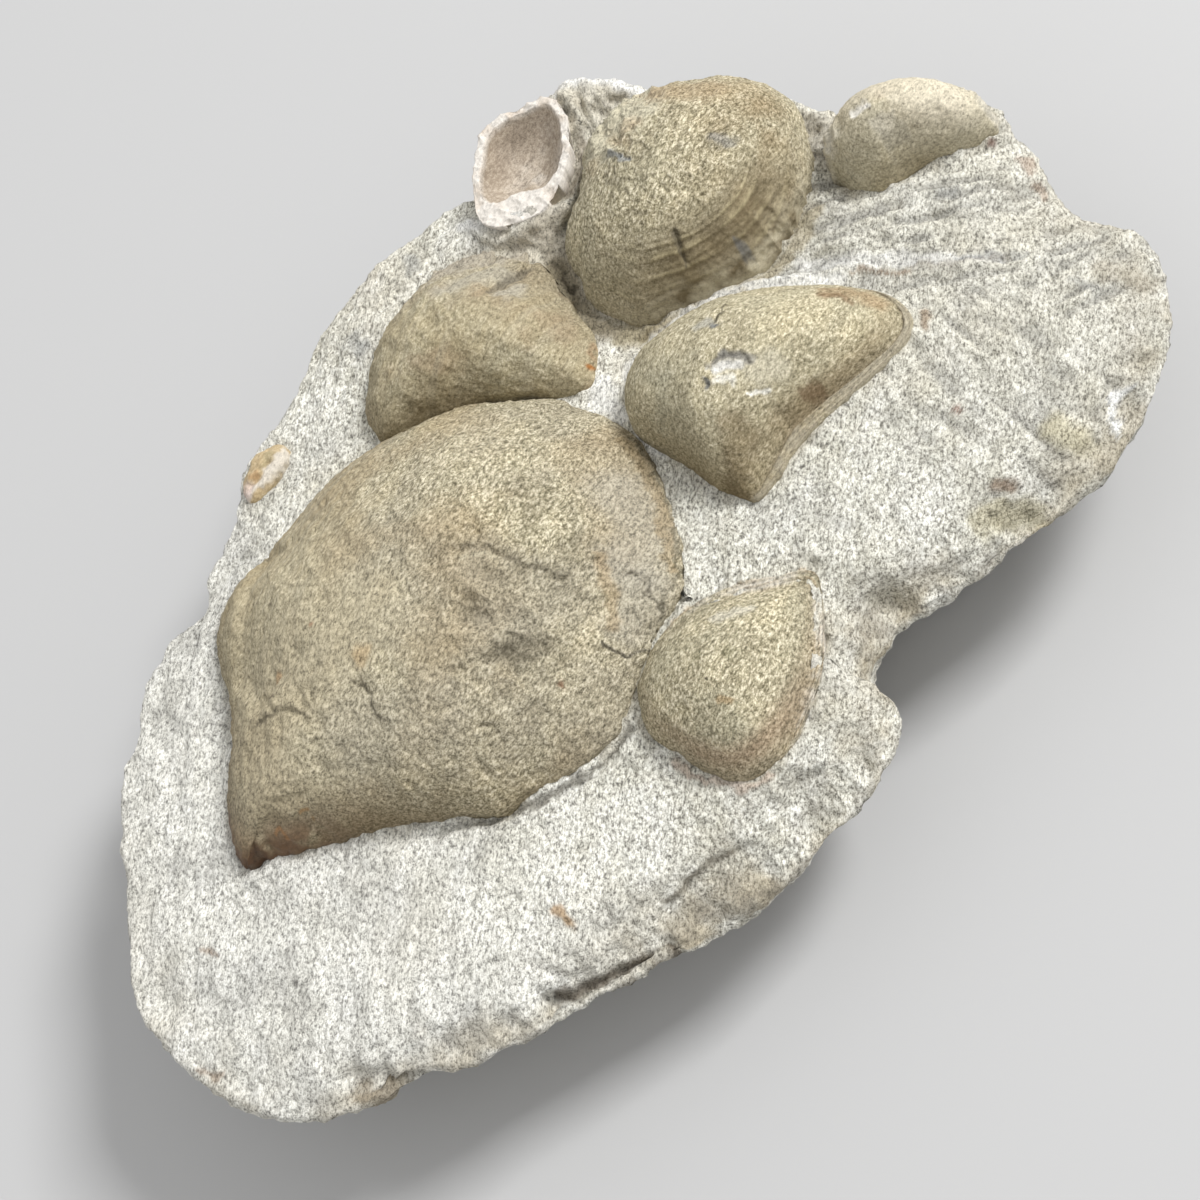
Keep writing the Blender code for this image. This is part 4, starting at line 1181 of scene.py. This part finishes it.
# Every second point of the rim goes down the side.
down_way = way[rim[::2]]
columns = len(down_way)
rim_high = high[rim[::2]]
rows = [top]
faces = [*squares[shown]]
last = None
for row in range(1, SIDE_ROWS + UNDER_ROWS + 1):
    down = min(1, row / SIDE_ROWS)
    inset = np.interp(down, SIDE_DOWN, SIDE_IN)
    distance = reach(down_way) - inset
    z = rim_high * (1 - down)
    if row < SIDE_ROWS:
        place = np.column_stack([placed((0, 0), distance, down_way), z])
        lump = SIDE_LUMP_HEIGHT * value_noise(place, SIDE_LUMP_WIDTH, 8) * min(1, down / 0.25)
        distance = distance - np.maximum(lump, -0.4 * inset)
    if row > SIDE_ROWS:
        distance = distance * (1 - 0.95 * (row - SIDE_ROWS) / UNDER_ROWS)
    ring = placed((0, 0), distance, down_way)
    rows.append(np.column_stack([ring, z]))
    this = len(top) + columns * (row - 1) + np.arange(columns)
    after = np.roll(this, -1)
    if last is None:
        loop = np.append(rim, rim[0])
        faces += [*np.stack([this, after, loop[2::2], loop[1::2], loop[:-1:2]], axis=1)]
    else:
        faces += [*np.stack([this, after, np.roll(last, -1), last], axis=1)]
    last = this
faces.append(last[::-1])
points = np.concatenate(rows)
used = np.zeros(len(points), bool)
for face in faces:
    used[face] = True
number = np.cumsum(used) - 1
faces = [number[face] for face in faces]
on_top = np.arange(len(points)) < len(top)
low = np.arange(1, SIDE_ROWS + UNDER_ROWS + 1) / SIDE_ROWS
low = np.concatenate([np.zeros(len(top)), np.repeat(low, columns)])
inside = np.concatenate([inside, np.zeros(len(points) - len(top))])
gap = np.concatenate([gap, np.full(len(points) - len(top), 1e9)])
points, on_top, low, inside, gap = (values[used] for values in (points, on_top, low, inside, gap))

flat = points[:, :2]
x, y = flat.T
furrow_fields = (
    # direction in degrees, where on the slab, depth
    (-30, held((x - 22) / 6) * held((y + 3 + 0.5 * (x - 30)) / 6), 0.42),
    (-38, held((x - 20) / 6) * fade(y + 0.75 * (x - 30), 7), 0.34),
    (-86, held((x - 18) / 8) * held((-6 - y) / 6) * held((40 - x) / 5), 0.24),
    (-8, held((x - 37) / 4) * held((-3 - y) / 5), 0.34),
    (50, held((-18 - x) / 8), 0.10),
    (-60, held((x - 2) / 6) * held((22 - x) / 6) * held((-y) / 6), 0.10),
)
furrows = sum(
    deep * part * on_top * np.clip(inside / 3, 0.1, 1)
    * strands(flat, turn, FURROW_WIDTH, FURROW_LENGTH, 871 + number)
    for number, (turn, part, deep) in enumerate(furrow_fields)
)
near = np.maximum(gap, 0)
rings = value_noise(np.column_stack([near / 0.5, x / 6, y / 6]), 1.0, 875)
rings = 0.09 * rings * np.exp(-near / 5) * (gap < 15)
side = held(low * 8)
rim_zone = fade(inside, 3.4) * held(0.15 + 0.95 * np.cos(np.arctan2(y, x) + 1.5))
crust = on_top * sum(thick * mound(flat, middle, width) for middle, width, thick in STONE_CRUSTS)
relief = (
    0.20 * rough(points, 4, 3, 811)
    + (0.09 + 0.12 * side) * rough(points, 1.5, 4, 821, True)
    + 0.12 * rough(points, 0.8, 3, 831)
    + furrows
    + rings * on_top
    + 0.38 * rim_zone * on_top * np.clip(inside / 1.2, 0.2, 1) * rough(points, 2.8, 4, 851, True)
    + 0.5 * rim_zone * on_top * held(inside / 1.5) * rough(points, 7.0, 2, 857, True)
    + 0.3 * side * rough(points, 5.0, 4, 853, True)
    + 0.22 * crust * rough(points, 1.7, 4, 855, True)
    - 0.15 * pitted(points, 1.2, 0.6, 861)
    + worked(flat, STONE_RELIEF) * on_top
    - 0.35
    - 0.25 * side
)
relief = np.where(low >= 1, np.maximum(relief, 0) * 0.3, relief)
paint = painted(
    points,
    ("#B9B4A6", 0.6 * side),
    ("#D2C8AE", 0.4 * cloud(points, 9, 881, -0.1) * on_top),
    # painted light: the top paler towards the left
    ("#FDFCF7", 0.4 * held((-5 - x) / 22) * on_top),
    # painted shade: the top darker towards the right
    ("#CDC9BB", 0.3 * held((x - 18) / 14) * on_top),
    ("#B5B3AC", 0.4 * cloud(points, 4, 883, -0.1) * on_top),
    # painted shade: darker in the scribe furrows
    ("#96948D", np.clip(-3.5 * furrows, 0, 0.65)),
    ("#B9AD93", 0.85 * rim_zone * cloud(points, 3, 885, 0.5) * on_top),
    ("#8A8478", 0.7 * rim_zone * cloud(points, 1.8, 887, -0.05) * on_top),
    ("#DDD5C2", 0.7 * held(crust)),
    ("#B3A78F", 0.55 * crust * cloud(points, 2, 889, 0.1)),
    # painted shade: darker where the stone meets the shells
    ("#B2A78E", 0.55 * fade(near, 0.5) * (gap < 5) * cloud(points, 2.5, 891, 0.2)),
)
stain(paint, flat, STONE_STAINS)
stone = make_piece("sandstone_slab", points, faces, relief, fine_sandstone, paint)
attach(stone, "root")
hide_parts("matrix")

# The floor is a plain sheet of pale card, which is no part of the slab.
floor_mesh = bpy.data.meshes.new("floor")
floor_mesh.from_pydata([(-2, -2, 0), (2, -2, 0), (2, 2, 0), (-2, 2, 0)], [], [(0, 1, 2, 3)])
floor = bpy.data.objects.new("floor", floor_mesh)
bpy.context.scene.collection.objects.link(floor)
# matt card: one even tone with no gloss
pale_card = bpy.data.materials.new("pale_card")
pale_card.use_nodes = True
pale_card.node_tree.nodes["Principled BSDF"].inputs["Base Color"].default_value = (*linear("#B9B9B9"), 1)
pale_card.node_tree.nodes["Principled BSDF"].inputs["Roughness"].default_value = 0.9
floor_mesh.materials.append(pale_card)

# The camera looks down at the slab with its picture turned, so that the slab's long side runs up to the
# right. One soft lamp stands above and behind the slab's upper edge, and an even sky fills its shadows.
VIEW_TILT = math.radians(58)  # above the slab's plane
VIEW_TURN = math.radians(42)
VIEW_BACK = Vector((0.0, -math.cos(VIEW_TILT), math.sin(VIEW_TILT)))
VIEW_UP = Vector((0.0, math.sin(VIEW_TILT), math.cos(VIEW_TILT)))
VIEW_FROM = Vector((-0.7, -108.3, 177.1)) * MM
right = Vector((1, 0, 0)) * math.cos(VIEW_TURN) - VIEW_UP * math.sin(VIEW_TURN)
up = Vector((1, 0, 0)) * math.sin(VIEW_TURN) + VIEW_UP * math.cos(VIEW_TURN)
camera = bpy.data.objects.new("camera", bpy.data.cameras.new("camera"))
camera.data.sensor_width = 36
camera.data.lens = 77.5
camera.data.clip_start = 0.01
turned = Matrix((right, up, VIEW_BACK)).transposed().to_4x4()
camera.matrix_world = Matrix.Translation(VIEW_FROM) @ turned
bpy.context.scene.collection.objects.link(camera)
bpy.context.scene.camera = camera

LAMP_FAR = 0.9  # metres
LAMP_TOWARD = (up * 0.8 + right * 0.35 + VIEW_BACK * 0.75).normalized()
lamp = bpy.data.objects.new("lamp", bpy.data.lights.new("lamp", "AREA"))
lamp.data.size = 0.25
lamp.data.energy = 7.8
turned = LAMP_TOWARD.to_track_quat("Z", "Y").to_matrix().to_4x4()
lamp.matrix_world = Matrix.Translation(LAMP_TOWARD * LAMP_FAR) @ turned
bpy.context.scene.collection.objects.link(lamp)
sky = bpy.data.worlds.new("sky")
sky.use_nodes = True
sky.node_tree.nodes["Background"].inputs["Color"].default_value = (0.5, 0.5, 0.5, 1)
sky.node_tree.nodes["Background"].inputs["Strength"].default_value = 1.5
bpy.context.scene.world = sky
bpy.context.scene.view_settings.view_transform = "Standard"
